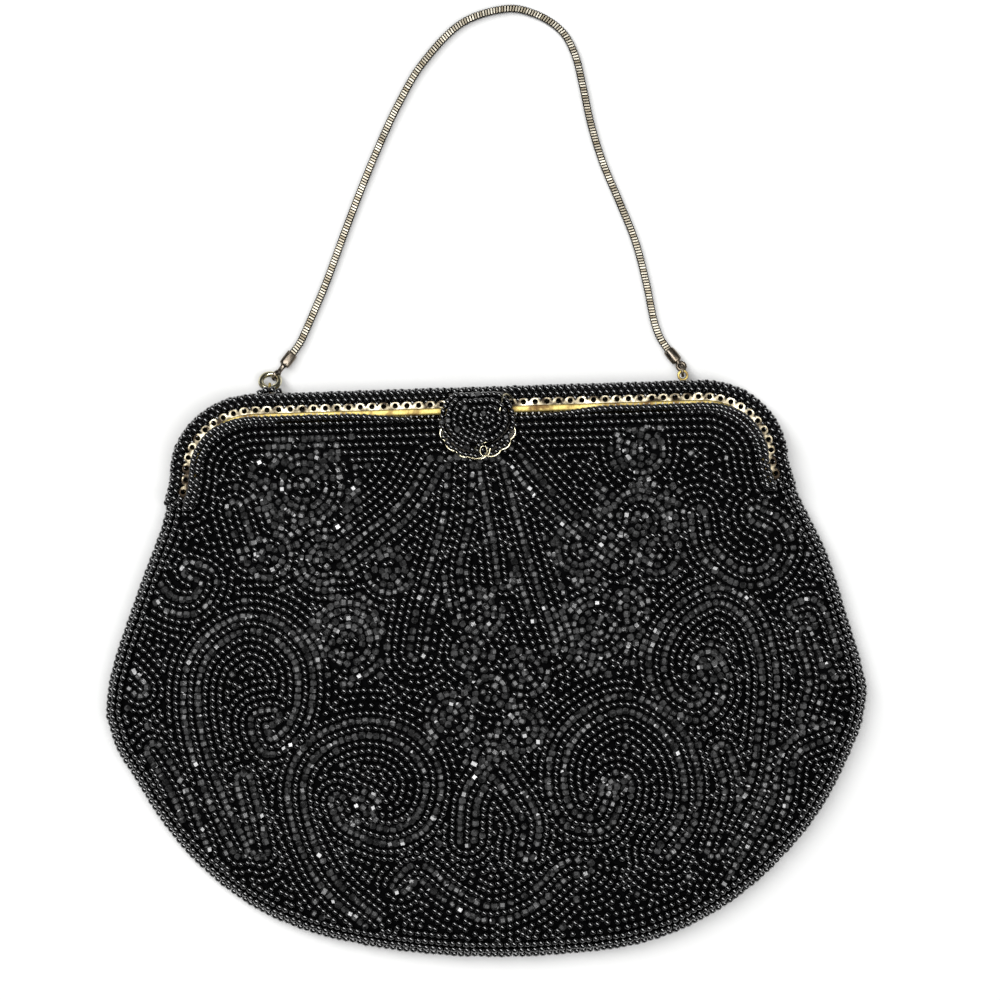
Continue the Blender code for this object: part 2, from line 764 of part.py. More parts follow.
def ring_places():
    """Centre, axis and far point of each ring as it hangs in its eye."""
    left_eye = eye_centre(-1)
    lean = Vector((0.0, math.cos(LEFT_RING_LEAN), -math.sin(LEFT_RING_LEAN)))
    left_centre = left_eye + lean * LEFT_RING_RADIUS
    left_axis = ALONG_X.cross(lean)
    radial = ALONG_X * math.cos(LEFT_RING_GRIP) + lean * math.sin(LEFT_RING_GRIP)
    left_grip = left_centre + radial * LEFT_RING_RADIUS
    left_along = left_axis.cross(radial)

    right_eye = eye_centre(1)
    level = Vector((-math.sin(RIGHT_RING_TURN), math.cos(RIGHT_RING_TURN), 0.0))
    reach = level * math.cos(RIGHT_RING_LEAN) - ALONG_Z * math.sin(RIGHT_RING_LEAN)
    right_centre = right_eye + reach * RIGHT_RING_RADIUS
    right_axis = reach.cross(ALONG_Z).normalized()
    right_grip = right_centre + reach * RIGHT_RING_RADIUS
    right_along = right_axis.cross(reach)
    return ((left_centre, left_axis, left_grip, left_along),
            (right_centre, right_axis, right_grip, right_along))


def make_chain_end(name, grip, ring_along, ring_wire, chain_start, metal):
    """Loop round the ring's wire and the crimped cap that holds the chain."""
    along = (chain_start - grip).normalized()
    axis = (ring_along - along * ring_along.dot(along)).normalized()
    loop_radius = ring_wire + LOOP_GAP + LOOP_WIRE
    loop = wire_ring(name, grip, axis, loop_radius, LOOP_WIRE, segments=12)
    cap_end = chain_start - along * CHAIN_END_GAP
    cap_start = cap_end - along * END_LENGTH
    neck_start = grip + along * loop_radius
    combine(loop, rod("neck", neck_start, cap_start + along * LOOP_WIRE, NECK_RADIUS, sides=8))
    combine(loop, rod("cap", cap_start, cap_end, END_RADIUS, sides=12, flatness=END_FLATNESS))
    finish(loop, metal)


def make_handle(gold, bronze):
    route = [Vector(point) for point in CHAIN_ROUTE]
    left, right = ring_places()
    rings = (("ring_left", left, LEFT_RING_RADIUS, LEFT_RING_WIRE),
             ("ring_right", right, RIGHT_RING_RADIUS, RIGHT_RING_WIRE))
    for name, (centre, axis, _, _), radius, wire in rings:
        finish(wire_ring(name, centre, axis, radius, wire), gold)
    make_chain_end("chain_end_left", left[2], left[3], LEFT_RING_WIRE, route[0], bronze)
    make_chain_end("chain_end_right", right[2], right[3], RIGHT_RING_WIRE, route[-1], bronze)

    curve = bpy.data.curves.new("handle_chain", "CURVE")
    curve.dimensions = "3D"
    curve.bevel_depth = CHAIN_RADIUS
    curve.bevel_resolution = 2
    curve.use_fill_caps = True
    line = smooth_line(route, CHAIN_STEP)
    spline = curve.splines.new("POLY")
    spline.points.add(len(line) - 1)
    for point, place in zip(spline.points, line):
        point.co = (*place, 1.0)
    spline.use_smooth = True
    chain = bpy.data.objects.new("handle_chain", curve)
    chain.data.materials.append(bronze)
    bpy.context.collection.objects.link(chain)


def main():
    for item in list(bpy.data.objects):
        bpy.data.objects.remove(item)
    black_beads = make_material("black_beads", (0.012, 0.012, 0.014), 0.22)
    silver = make_material("worn_silver", (0.55, 0.53, 0.48), 0.38, 1.0)
    gold = make_material("worn_gold", (0.62, 0.45, 0.20), 0.36, 1.0)
    bronze = make_material("dark_bronze", (0.20, 0.15, 0.10), 0.42, 1.0)
    make_bag(black_beads)
    make_frame(silver, gold)
    make_rolls(black_beads)
    make_clasp(silver, black_beads)
    make_handle(gold, bronze)


main()
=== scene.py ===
# %% [markdown]
# # A beaded evening purse
# The purse is a cloth bag covered with black glass beads, sewn into a hinged gilt frame, with a fine chain
# for a handle. It lies on its back on a table. This lesson dresses the solid model of the purse: every
# bead, stitch and chain link is made here, over solids that stay where they are.

# %% Open the solid model
import json
import math
import bpy
import numpy as np
from mathutils import Matrix, Vector
from mathutils.bvhtree import BVHTree
from mathutils.kdtree import KDTree

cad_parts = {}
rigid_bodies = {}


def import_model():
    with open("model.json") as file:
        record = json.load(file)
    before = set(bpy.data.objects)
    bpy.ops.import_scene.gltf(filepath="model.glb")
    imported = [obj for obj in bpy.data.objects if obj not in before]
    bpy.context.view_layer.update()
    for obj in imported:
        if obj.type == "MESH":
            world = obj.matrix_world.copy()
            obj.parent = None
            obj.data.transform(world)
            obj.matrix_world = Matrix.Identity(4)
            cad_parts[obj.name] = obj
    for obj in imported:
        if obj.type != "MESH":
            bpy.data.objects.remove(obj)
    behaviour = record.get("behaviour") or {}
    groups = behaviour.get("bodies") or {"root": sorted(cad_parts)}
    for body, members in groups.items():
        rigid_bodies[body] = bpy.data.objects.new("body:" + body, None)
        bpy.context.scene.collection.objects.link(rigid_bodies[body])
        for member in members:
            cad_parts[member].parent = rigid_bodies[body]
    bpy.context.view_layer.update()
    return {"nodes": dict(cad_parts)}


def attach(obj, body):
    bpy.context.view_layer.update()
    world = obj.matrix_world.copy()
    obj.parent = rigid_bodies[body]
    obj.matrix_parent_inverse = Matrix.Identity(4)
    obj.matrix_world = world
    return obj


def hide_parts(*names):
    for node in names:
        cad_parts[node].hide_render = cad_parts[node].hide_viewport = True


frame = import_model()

MM = 0.001
nodes = frame["nodes"]
print("solids:", sorted(nodes))

# %% [markdown]
# ## The camera
# The photograph looks straight down, from about a metre, and the purse is turned a little in it. A long
# lens at a real distance gives the same small perspective, so the frame's near edges cover the bag as they
# should.

# %% Set up the camera
PHOTO_TURN = math.radians(1.8)
VIEW_CENTRE = (6.0 * MM, 53.8 * MM)
VIEW_WIDTH = 300 * MM
CAMERA_DISTANCE = 1.0
MIDDLE_HEIGHT = 10 * MM

camera_data = bpy.data.cameras.new("camera")
camera_data.sensor_width = 36.0
camera_data.lens = camera_data.sensor_width * CAMERA_DISTANCE / VIEW_WIDTH
camera_data.clip_start = 0.01
camera = bpy.data.objects.new("camera", camera_data)
camera.location = (*VIEW_CENTRE, MIDDLE_HEIGHT + CAMERA_DISTANCE)
camera.rotation_euler = (0.0, 0.0, -PHOTO_TURN)
bpy.context.scene.collection.objects.link(camera)
bpy.context.scene.camera = camera
print("lens in mm:", round(camera_data.lens, 1))

# %% [markdown]
# ## Light and floor
# Each round bead in the photograph shows one small slanted spot of light, so the main light is one long
# soft box, turned the same way. A second, weaker one fills in from the other side. The floor is plain and
# pale.

# %% Set up the lights
MAIN_LIGHT = {"place": (-0.18, 0.25, 1.50), "long_side": (1.0, -0.85, 0.0), "size": (2.40, 0.55),
              "power": 42.0}
FILL_LIGHT = {"place": (1.1, -0.8, 1.2), "long_side": (1.0, 1.0, 0.0), "size": (0.5, 0.5), "power": 4.0}
SKY_COLOUR, SKY_STRENGTH = (0.9, 0.95, 1.0, 1.0), 0.05


def activate(piece):
    """Make one object the only selected one, ready for an operator."""
    if bpy.context.object and bpy.context.object.mode != "OBJECT":
        bpy.ops.object.mode_set(mode="OBJECT")
    bpy.ops.object.select_all(action="DESELECT")
    bpy.context.view_layer.objects.active = piece
    piece.select_set(True)


def soft_box(name, place, long_side, size, power):
    """A rectangular light, aimed at the middle of the bag, with its long side along a direction."""
    data = bpy.data.lights.new(name, "AREA")
    data.shape = "RECTANGLE"
    data.size, data.size_y = size
    data.energy = power
    light = bpy.data.objects.new(name, data)
    light.location = place
    back = Vector(place).normalized()
    across = Vector(long_side) - back * back.dot(Vector(long_side))
    across.normalize()
    light.rotation_euler = Matrix((across, back.cross(across), back)).transposed().to_euler()
    bpy.context.scene.collection.objects.link(light)
    return light


soft_box("long_soft_box", **MAIN_LIGHT)
soft_box("fill_soft_box", **FILL_LIGHT)

world = bpy.data.worlds.new("studio")
bpy.context.scene.world = world
world.use_nodes = True
sky = world.node_tree.nodes["Background"]
sky.inputs["Color"].default_value = SKY_COLOUR
sky.inputs["Strength"].default_value = SKY_STRENGTH
bpy.context.scene.view_settings.view_transform = "Standard"

# %% [markdown]
# ## The floor
# The purse lies on a plain pale surface. It is one large plane, a hair under the purse, so that nothing
# pokes through it. It belongs to the stage and not to the purse.

# %% Lay the floor
FLOOR_SIZE, FLOOR_DROP = 6.0, 0.4 * MM
activate(camera)
bpy.ops.mesh.primitive_plane_add(size=FLOOR_SIZE, location=(0.0, 0.0, -FLOOR_DROP))
floor = bpy.context.object
floor.name = "floor"
bpy.ops.object.transform_apply()
print("floor:", FLOOR_SIZE, "m wide")

# %% [markdown]
# ## Materials
# The materials are made first, as recipes in nodes. They could be painted as images, but a pattern worked
# out in object coordinates stays sharp on beads of two millimetres. One helper keeps each recipe down to a
# few lines, and the floor gets the first of them.

# %% Write the recipe helper
class Recipe:
    """A material with one Principled shader, and short calls that add nodes to it."""

    def __init__(self, name, **inputs):
        self.material = bpy.data.materials.new(name)
        self.material.use_nodes = True
        self.tree = self.material.node_tree
        self.shader = self.tree.nodes["Principled BSDF"]
        for key, value in inputs.items():
            self.shader.inputs[key.replace("_", " ")].default_value = value

    def node(self, kind, **settings):
        made = self.tree.nodes.new("ShaderNode" + kind)
        for key, value in settings.items():
            setattr(made, key, value)
        return made

    def link(self, start, end):
        self.tree.links.new(start, end)

    def place(self):
        return self.node("TexCoord").outputs["Object"]

    def noise(self, scale, detail=3.0, stretch=None):
        """Cloudy pattern in object coordinates, in lumps per metre."""
        made = self.node("TexNoise")
        made.inputs["Scale"].default_value = scale
        made.inputs["Detail"].default_value = detail
        place = self.place()
        if stretch:
            mapping = self.node("Mapping")
            mapping.inputs["Scale"].default_value = stretch
            self.link(place, mapping.inputs["Vector"])
            place = mapping.outputs["Vector"]
        self.link(place, made.inputs["Vector"])
        return made.outputs["Fac"]

    def tone(self):
        made = self.node("Attribute", attribute_name="tone")
        return made.outputs["Fac"]

    def ramp(self, factor, *stops):
        """Colours between stops of (position, colour)."""
        made = self.node("ValToRGB")
        band = made.color_ramp
        while len(band.elements) < len(stops):
            band.elements.new(1.0)
        for element, (position, colour) in zip(band.elements, stops):
            element.position = position
            element.color = (*colour, 1.0)
        self.link(factor, made.inputs["Fac"])
        return made.outputs["Color"]

    def span(self, factor, low, high, start=0.0, end=1.0):
        """A number that runs from low to high while the factor runs from start to end."""
        made = self.node("MapRange")
        for key, value in (("From Min", start), ("From Max", end), ("To Min", low), ("To Max", high)):
            made.inputs[key].default_value = value
        self.link(factor, made.inputs["Value"])
        return made.outputs["Result"]

    def mix(self, factor, first, second):
        made = self.node("Mix", data_type="RGBA")
        self.link(factor, made.inputs["Factor"])
        self.link(first, made.inputs["A"])
        self.link(second, made.inputs["B"])
        return made.outputs["Result"]

    def colour(self, value):
        self.link(value, self.shader.inputs["Base Color"])

    def rough(self, value):
        self.link(value, self.shader.inputs["Roughness"])

    def bump(self, height, strength, distance):
        made = self.node("Bump")
        made.inputs["Strength"].default_value = strength
        made.inputs["Distance"].default_value = distance
        self.link(height, made.inputs["Height"])
        self.link(made.outputs["Normal"], self.shader.inputs["Normal"])


def plain_floor():
    recipe = Recipe("pale_floor", Roughness=0.8)
    recipe.colour(recipe.ramp(recipe.noise(3.0, 2.0), (0.0, (0.74, 0.74, 0.735)), (1.0, (0.78, 0.78, 0.775))))
    return recipe.material


def dress(piece, material):
    """Give the piece one material in place of those it has."""
    piece.data.materials.clear()
    piece.data.materials.append(material)
    return piece


dress(floor, plain_floor())
print("floor's material:", floor.data.materials[0].name)

# %% [markdown]
# ### Glass and cloth
# Beads carry a number of their own, called tone, so that one recipe gives each bead a slightly different
# black. Round beads are polished glass. Cut beads are greyer, and a few of their facets, those with the
# highest tones, are painted almost white as glints. The cloth under them is a dull near-black, with a fine
# diagonal weave.

# %% Mix the glass and the cloth
def black_glass():
    recipe = Recipe("black_glass", Specular_IOR_Level=0.8, Coat_Weight=0.9, Coat_Roughness=0.05)
    recipe.colour(recipe.ramp(recipe.tone(), (0.0, (0.0006, 0.0006, 0.0007)),
                              (0.7, (0.0015, 0.0015, 0.0017)), (1.0, (0.005, 0.0045, 0.0045))))
    recipe.rough(recipe.span(recipe.tone(), 0.08, 0.20))
    recipe.bump(recipe.noise(900.0, 2.0), 0.07, 0.0001)
    return recipe.material


def cut_glass():
    recipe = Recipe("cut_glass", Specular_IOR_Level=0.7)
    streaks = recipe.noise(2600.0, 4.0)
    # The top stops of both ramps paint near-white glints on the few facets with the highest tones.
    grey = recipe.ramp(recipe.tone(), (0.0, (0.002,) * 3), (0.45, (0.007,) * 3), (0.80, (0.030,) * 3),
                       (0.978, (0.06,) * 3), (0.988, (0.6,) * 3))
    pale = recipe.ramp(recipe.tone(), (0.0, (0.010,) * 3), (0.6, (0.045,) * 3), (0.978, (0.10,) * 3),
                       (0.988, (0.7,) * 3))
    recipe.colour(recipe.mix(recipe.span(streaks, 0.0, 1.0, 0.48, 0.66), grey, pale))
    recipe.rough(recipe.ramp(recipe.tone(), (0.0, (0.28,) * 3), (0.80, (0.50,) * 3), (0.93, (0.15,) * 3)))
    recipe.bump(recipe.noise(1700.0, 3.0), 0.6, 0.00015)
    return recipe.material


def dark_cloth():
    recipe = Recipe("dark_cloth", Roughness=0.95, Specular_IOR_Level=0.05)
    recipe.colour(recipe.ramp(recipe.noise(260.0, 4.0), (0.3, (0.0004, 0.0004, 0.0005)),
                              (0.8, (0.0014, 0.0014, 0.0017))))
    weave = recipe.node("TexWave", wave_type="BANDS", bands_direction="DIAGONAL")
    weave.inputs["Scale"].default_value = 420.0
    weave.inputs["Distortion"].default_value = 1.2
    recipe.link(recipe.place(), weave.inputs["Vector"])
    recipe.bump(weave.outputs["Fac"], 0.5, 0.0003)
    return recipe.material


def pale_thread():
    recipe = Recipe("pale_thread", Roughness=0.7, Sheen_Weight=0.3)
    recipe.colour(recipe.ramp(recipe.noise(900.0, 3.0), (0.3, (0.42, 0.40, 0.36)), (0.7, (0.70, 0.69, 0.65))))
    return recipe.material


GLASS, CUT, CLOTH, THREAD = black_glass(), cut_glass(), dark_cloth(), pale_thread()
print("soft and glassy materials:", [material.name for material in (GLASS, CUT, CLOTH, THREAD)])

# %% [markdown]
# ### Worn metals
# The rail was gold washed, and has worn to brown in patches. The gallery is silver plate, which has
# tarnished most at the frame's ends. The thin wires and one ring are still bright. The chain's faces that
# look up get high tones, painted as a bright highlight, and its other faces low tones, painted as shade.

# %% Mix the metals
def gilt():
    recipe = Recipe("worn_gilt", Metallic=0.75)
    wear = recipe.noise(240.0, 6.0)
    gold = recipe.ramp(recipe.noise(1900.0, 3.0), (0.25, (0.34, 0.25, 0.06)), (0.75, (0.56, 0.45, 0.16)))
    tarnish = recipe.ramp(recipe.noise(700.0, 4.0), (0.3, (0.10, 0.05, 0.015)), (0.8, (0.30, 0.19, 0.06)))
    recipe.colour(recipe.mix(recipe.span(wear, 0.0, 1.0, 0.48, 0.62), gold, tarnish))
    recipe.rough(recipe.span(wear, 0.42, 0.62, 0.35, 0.7))
    recipe.bump(recipe.noise(1500.0, 4.0), 0.25, 0.0001)
    return recipe.material


def silver():
    recipe = Recipe("worn_silver", Metallic=1.0)
    axes = recipe.node("SeparateXYZ")
    recipe.link(recipe.place(), axes.inputs["Vector"])
    both = recipe.node("Math", operation="ADD")
    recipe.link(recipe.noise(420.0, 6.0), both.inputs[0])
    recipe.link(recipe.span(axes.outputs["Y"], 0.14, 0.0, 58 * MM, 74 * MM), both.inputs[1])
    wear = both.outputs["Value"]
    recipe.colour(recipe.ramp(wear, (0.34, (0.44, 0.41, 0.32)), (0.50, (0.22, 0.19, 0.13)),
                              (0.64, (0.03, 0.022, 0.015))))
    recipe.rough(recipe.span(wear, 0.30, 0.55, 0.35, 0.7))
    recipe.bump(recipe.noise(1800.0, 3.0), 0.2, 0.0001)
    return recipe.material


def bronze():
    recipe = Recipe("dark_bronze", Metallic=1.0)
    wear = recipe.noise(300.0, 5.0)
    recipe.colour(recipe.ramp(wear, (0.3, (0.13, 0.115, 0.10)), (0.6, (0.20, 0.165, 0.125)),
                              (0.8, (0.07, 0.055, 0.045))))
    recipe.rough(recipe.span(wear, 0.22, 0.42, 0.3, 0.7))
    recipe.bump(recipe.noise(2200.0, 3.0), 0.2, 0.0001)
    return recipe.material


def tarnish():
    recipe = Recipe("tarnished_plate", Metallic=0.6)
    wear = recipe.noise(300.0, 5.0)
    recipe.colour(recipe.ramp(wear, (0.3, (0.020, 0.017, 0.014)), (0.6, (0.045, 0.038, 0.028)),
                              (0.8, (0.010, 0.008, 0.006))))
    recipe.rough(recipe.span(wear, 0.45, 0.65, 0.3, 0.7))
    recipe.bump(recipe.noise(1600.0, 3.0), 0.2, 0.0001)
    return recipe.material


def pale_gold():
    recipe = Recipe("polished_pale_gold", Metallic=1.0)
    wear = recipe.noise(420.0, 5.0)
    recipe.colour(recipe.ramp(wear, (0.35, (0.74, 0.70, 0.52)), (0.55, (0.55, 0.50, 0.33)),
                              (0.70, (0.16, 0.13, 0.08))))
    recipe.rough(recipe.span(wear, 0.14, 0.35, 0.35, 0.7))
    recipe.bump(recipe.noise(1500.0, 3.0), 0.15, 0.0001)
    return recipe.material


def snake_chain():
    recipe = Recipe("snake_chain_painted_light", Metallic=1.0)
    # Low tones paint shade on the chain's sides, and high tones paint a highlight on the faces that look up.
    recipe.colour(recipe.ramp(recipe.tone(), (0.0, (0.010, 0.008, 0.006)), (0.45, (0.025, 0.021, 0.016)),
                              (0.60, (0.085, 0.072, 0.050)), (1.0, (0.22, 0.205, 0.17))))
    recipe.rough(recipe.span(recipe.noise(300.0, 5.0), 0.18, 0.38, 0.3, 0.7))
    recipe.bump(recipe.noise(2200.0, 3.0), 0.2, 0.0001)
    return recipe.material


GILT, SILVER, BRONZE = gilt(), silver(), bronze()
TARNISH, PALE_GOLD, SNAKE = tarnish(), pale_gold(), snake_chain()
print("materials:", len(bpy.data.materials))

# %% [markdown]
# ## Lines that the maker works along
# The beads follow lines: the seam round the bag, the mouth under the frame, and the scrolls of the pattern.
# These helpers smooth a few given points into a line and walk along it in equal steps.

# %% Helpers for lines in the plan
def smooth_through(points, spacing):
    """A smooth curve through points, with a point at each spacing or so."""
    points = [np.array(point, float) for point in points]
    padded = [points[0] * 2 - points[1]] + points + [points[-1] * 2 - points[-2]]
    line = [points[0]]
    for before, start, end, after in zip(padded, padded[1:], padded[2:], padded[3:]):
        steps = max(1, round(np.linalg.norm(end - start) / spacing))
        for step in range(1, steps + 1):
            t = step / steps
            line.append(0.5 * (2 * start + (end - before) * t
                               + (2 * before - 5 * start + 4 * end - after) * t * t
                               + (3 * start - before - 3 * end + after) * t ** 3))
    return np.array(line)


def walk(line, spacing, closed=False):
    """Points at equal steps along a line, and the line's direction at each."""
    line = np.asarray(line, float)
    if closed:
        line = np.vstack([line, line[:1]])
    steps = np.linalg.norm(np.diff(line, axis=0), axis=1)
    line = line[np.concatenate([[True], steps > 1e-9])]
    reach = np.concatenate([[0.0], np.cumsum(steps[steps > 1e-9])])
    count = max(1, round(reach[-1] / spacing))
    wanted = np.linspace(0.0, reach[-1], count + 1)
    if closed:
        wanted = wanted[:-1]

    def at(along):
        return np.stack([np.interp(along, reach, line[:, axis]) for axis in range(line.shape[1])], axis=1)

    ahead = at(np.minimum(wanted + spacing / 4, reach[-1])) - at(np.maximum(wanted - spacing / 4, 0.0))
    ahead /= np.maximum(np.linalg.norm(ahead, axis=1, keepdims=True), 1e-9)
    return at(wanted), ahead


def tree_of(points):
    """A search tree that finds the nearest of many points in the plan."""
    tree = KDTree(len(points))
    for index, (x, y) in enumerate(points):
        tree.insert((x, y, 0.0), index)
    tree.balance()
    return tree


def unit(vectors):
    return vectors / np.maximum(np.linalg.norm(vectors, axis=-1, keepdims=True), 1e-12)


print("one smooth quarter has", len(smooth_through([(0, 0), (1, 1), (2, 0)], 0.1)), "points")

# %% [markdown]
# ## The line of the frame
# Rail, gallery, rolls and stitches all follow the frame's arch. A place on it has two numbers, the distance
# along the arch and the depth inside its outer edge, and one helper turns the two into a place in the plan.

# %% Follow the frame's arch
FRAME_HALF_WIDTH, FRAME_TOP = 93.0 * MM, 88.2 * MM
CORNER_ACROSS, CORNER_DOWN = 26.0 * MM, 24.0 * MM
CORNER_STEPS = 24
LEG_LENGTH, LEG_SPLAY = 6.4 * MM, 1.6 * MM
RAIL_DEPTH, MOUTH_DEPTH = 6.2 * MM, 8.6 * MM
GUIDE_DEPTH = 4.0 * MM
ARCH_STEP = 0.5 * MM


def arch_points():
    corner_x, corner_y = FRAME_HALF_WIDTH - CORNER_ACROSS, FRAME_TOP - CORNER_DOWN
    right = [(FRAME_HALF_WIDTH + LEG_SPLAY, corner_y - LEG_LENGTH)]
    right += [(FRAME_HALF_WIDTH + LEG_SPLAY / 4, corner_y - LEG_LENGTH / 3)]
    for step in range(CORNER_STEPS + 1):
        angle = math.pi / 2 * step / CORNER_STEPS
        right.append((corner_x + CORNER_ACROSS * math.cos(angle), corner_y + CORNER_DOWN * math.sin(angle)))
    return np.array([(-x, y) for x, y in right] + right[::-1])


arch, arch_ahead = walk(arch_points(), ARCH_STEP)
arch_in = np.stack([arch_ahead[:, 1], -arch_ahead[:, 0]], axis=1)
guide = arch + arch_in * GUIDE_DEPTH
arch_reach = np.concatenate([[0.0], np.cumsum(np.linalg.norm(np.diff(guide, axis=0), axis=1))])
ARCH_LENGTH = arch_reach[-1]


def on_arch(along, depth):
    """Place in the plan and the direction along and into the frame there."""
    place = np.stack([np.interp(along, arch_reach, arch[:, axis]) for axis in (0, 1)], axis=-1)
    into = unit(np.stack([np.interp(along, arch_reach, arch_in[:, axis]) for axis in (0, 1)], axis=-1))
    ahead = np.stack([-into[..., 1], into[..., 0]], axis=-1)
    past_end = along - np.clip(along, 0.0, ARCH_LENGTH)
    return place + into * np.asarray(depth)[..., None] + ahead * past_end[..., None], ahead, into


print("length of the arch in mm:", round(ARCH_LENGTH / MM, 1))

# %% [markdown]
# ## The shape of the bag
# Beads lie on the outside of the solid bag, so its shape is measured first. Rays shot at it from all sides
# find its rim, the seam that joins front and back. The mouth is the line where the bag comes out under the
# frame.

# %% Measure the bag
BEAD_SIZE = 2.1 * MM
BEAD_STEP = 2.05 * MM
ROW_STEP = 2.25 * MM
SINK = 1.0 * MM
TURN_DEPTH, TURN_HEIGHT = 9.0 * MM, 5.8 * MM
CELL = 0.75 * MM
MOUTH_END = (94.6 * MM, 57.5 * MM)
RIM_TOP, RIM_RAY_HEIGHT, RIM_RAY_START = 57.4 * MM, 6.2 * MM, 0.3
RIM_STEP, RIM_SMOOTHINGS, FINE_STEP = 1.0 * MM, 4, 0.3 * MM


def surface_of(node):
    """A solid's faces in a form that rays can be shot at."""
    mesh = node.data
    mesh.calc_loop_triangles()
    return BVHTree.FromPolygons([vertex.co.copy() for vertex in mesh.vertices],
                                [tuple(face.vertices) for face in mesh.loop_triangles])


bag_surface = surface_of(nodes["pouch"])
mouth = np.vstack([[(-MOUTH_END[0], MOUTH_END[1])], on_arch(arch_reach, MOUTH_DEPTH)[0], [MOUTH_END]])
rim = []
for half_degree in range(-424, 64):
    angle = math.radians(half_degree / 2)
    out = Vector((math.cos(angle), math.sin(angle), 0.0))
    hit = bag_surface.ray_cast(Vector((0.0, 0.0, RIM_RAY_HEIGHT)) + out * RIM_RAY_START, -out)[0]
    if hit and hit.y < RIM_TOP and hit.dot(out) > 0:
        rim.append((hit.x, hit.y))
rim = walk(rim, RIM_STEP)[0]
for _ in range(RIM_SMOOTHINGS):
    rim[1:-1] = rim[1:-1] * 0.5 + (rim[:-2] + rim[2:]) * 0.25
rim_fine = walk(rim, FINE_STEP)[0]
mouth_fine = walk(mouth, FINE_STEP)[0]
print("rim from", rim[0] / MM, "to", rim[-1] / MM, "lowest", rim[:, 1].min() / MM)

# %% [markdown]
# ### A map of the bag
# Numbers that change over the bag are kept on a grid of small squares: how far each square is from the rim
# and from the mouth, and how high the bag is there. Any place between the grid's points is read off
# quickly.

# %% Lay a grid over the bag
GRID_HALF_WIDTH, GRID_LOW, GRID_HIGH = 118 * MM, -87 * MM, 82 * MM
# Two places far above the mouth close the rim's line, so that all places below them count as inside it
FAR_ABOVE = [(100 * MM, 0.2), (-100 * MM, 0.2)]
# The seam lies lower at the bottom of the bag than under the frame
SEAM_PLACES, SEAM_HEIGHTS = [-84 * MM, 57 * MM], [5.6 * MM, 6.8 * MM]
grid_x = np.arange(-GRID_HALF_WIDTH, GRID_HALF_WIDTH, CELL)
grid_y = np.arange(GRID_LOW, GRID_HIGH, CELL)
plan_x, plan_y = np.meshgrid(grid_x, grid_y)


def on_grid(function):
    return np.array([function(x, y) for x, y in zip(plan_x.ravel(), plan_y.ravel())]).reshape(plan_x.shape)


def look_up(values, places):
    """Value of a grid at places between its points."""
    column = np.clip((places[..., 0] - grid_x[0]) / CELL, 0, len(grid_x) - 1.001)
    row = np.clip((places[..., 1] - grid_y[0]) / CELL, 0, len(grid_y) - 1.001)
    left, low = column.astype(int), row.astype(int)
    across, up = column - left, row - low
    return (values[low, left] * (1 - across) * (1 - up) + values[low, left + 1] * across * (1 - up)
            + values[low + 1, left] * (1 - across) * up + values[low + 1, left + 1] * across * up)


def blur(values, times):
    for _ in range(times):
        values = np.pad(values, 1, mode="edge")
        values = (values[1:-1, 1:-1] * 2 + values[:-2, 1:-1] + values[2:, 1:-1]
                  + values[1:-1, :-2] + values[1:-1, 2:]) / 6
    return values


def inside(polygon, x, y):
    """Whether places lie inside a closed line, by counting the sides that a ray crosses."""
    crossed = np.zeros(x.shape, bool)
    for (x1, y1), (x2, y2) in zip(polygon, np.roll(polygon, -1, axis=0)):
        if y1 != y2:
            crossed ^= ((y1 > y) != (y2 > y)) & (x < (x2 - x1) * (y - y1) / (y2 - y1) + x1)
    return crossed


bag_plan = np.vstack([rim, mouth[::-1]])
in_bag = inside(bag_plan, plan_x, plan_y)
rim_tree, mouth_tree = tree_of(rim_fine), tree_of(mouth_fine)
rim_gap = on_grid(lambda x, y: rim_tree.find((x, y, 0.0))[2])
mouth_gap = on_grid(lambda x, y: mouth_tree.find((x, y, 0.0))[2])
rim_gap = np.where(inside(np.vstack([rim, FAR_ABOVE]), plan_x, plan_y), rim_gap, -rim_gap)
away_y, away_x = np.gradient(-blur(rim_gap, 3), CELL)
outwards = unit(np.stack([away_x, away_y], axis=-1))
seam_height = np.interp(plan_y, SEAM_PLACES, SEAM_HEIGHTS)
print("grid:", plan_x.shape, "squares on the bag:", int(in_bag.sum()))

# %% [markdown]
# ### How high the cloth is
# Rays dropped from above and from below find the two sides of the solid bag. Near the rim the solid falls
# away, so there the height a little further in is used, and the ellipse of the next step makes the turn.

# %% Drop rays on the bag
LEVEL_DEPTH = TURN_DEPTH + 1 * MM
MOUTH_LEVEL = 56 * MM
HEIGHT_BLUR = 6
RAY_HEIGHT = 0.1
FRONT_MISSING, BACK_MISSING = 12.0 * MM, 0.0


def drop(x, y, start, direction, missing):
    hit = bag_surface.ray_cast(Vector((x, y, start)), Vector((0.0, 0.0, direction)))[0]
    return hit.z if hit else missing


def smooth_height(start, direction, missing):
    """Height of one side of the bag, carried level from a depth inside the rim out to the rim."""
    height = on_grid(lambda x, y: drop(x, y, start, direction, missing))
    places = np.stack([plan_x, plan_y], axis=-1)
    inwards = np.maximum(LEVEL_DEPTH - rim_gap, 0.0)[..., None] * outwards
    places = places - np.where(plan_y[..., None] > MOUTH_LEVEL, 0.0, inwards)
    return blur(look_up(height, places), HEIGHT_BLUR)


front_height = smooth_height(RAY_HEIGHT, -1.0, FRONT_MISSING)
back_height = smooth_height(-RAY_HEIGHT, 1.0, BACK_MISSING)
print("highest place in front in mm:", round(front_height[in_bag].max() / MM, 1))
print("lowest place behind in mm:", round(back_height[in_bag].min() / MM, 1))

# %% [markdown]
# ## Where each bead's centre lies
# A bead sits a millimetre under the outside of the bag. Near the rim the bag turns round like a pillow's
# edge, and an ellipse describes that turn better than the solid's flat faces do. Rows are counted by the
# length of the path round it, so they stay evenly spaced where the surface turns under.

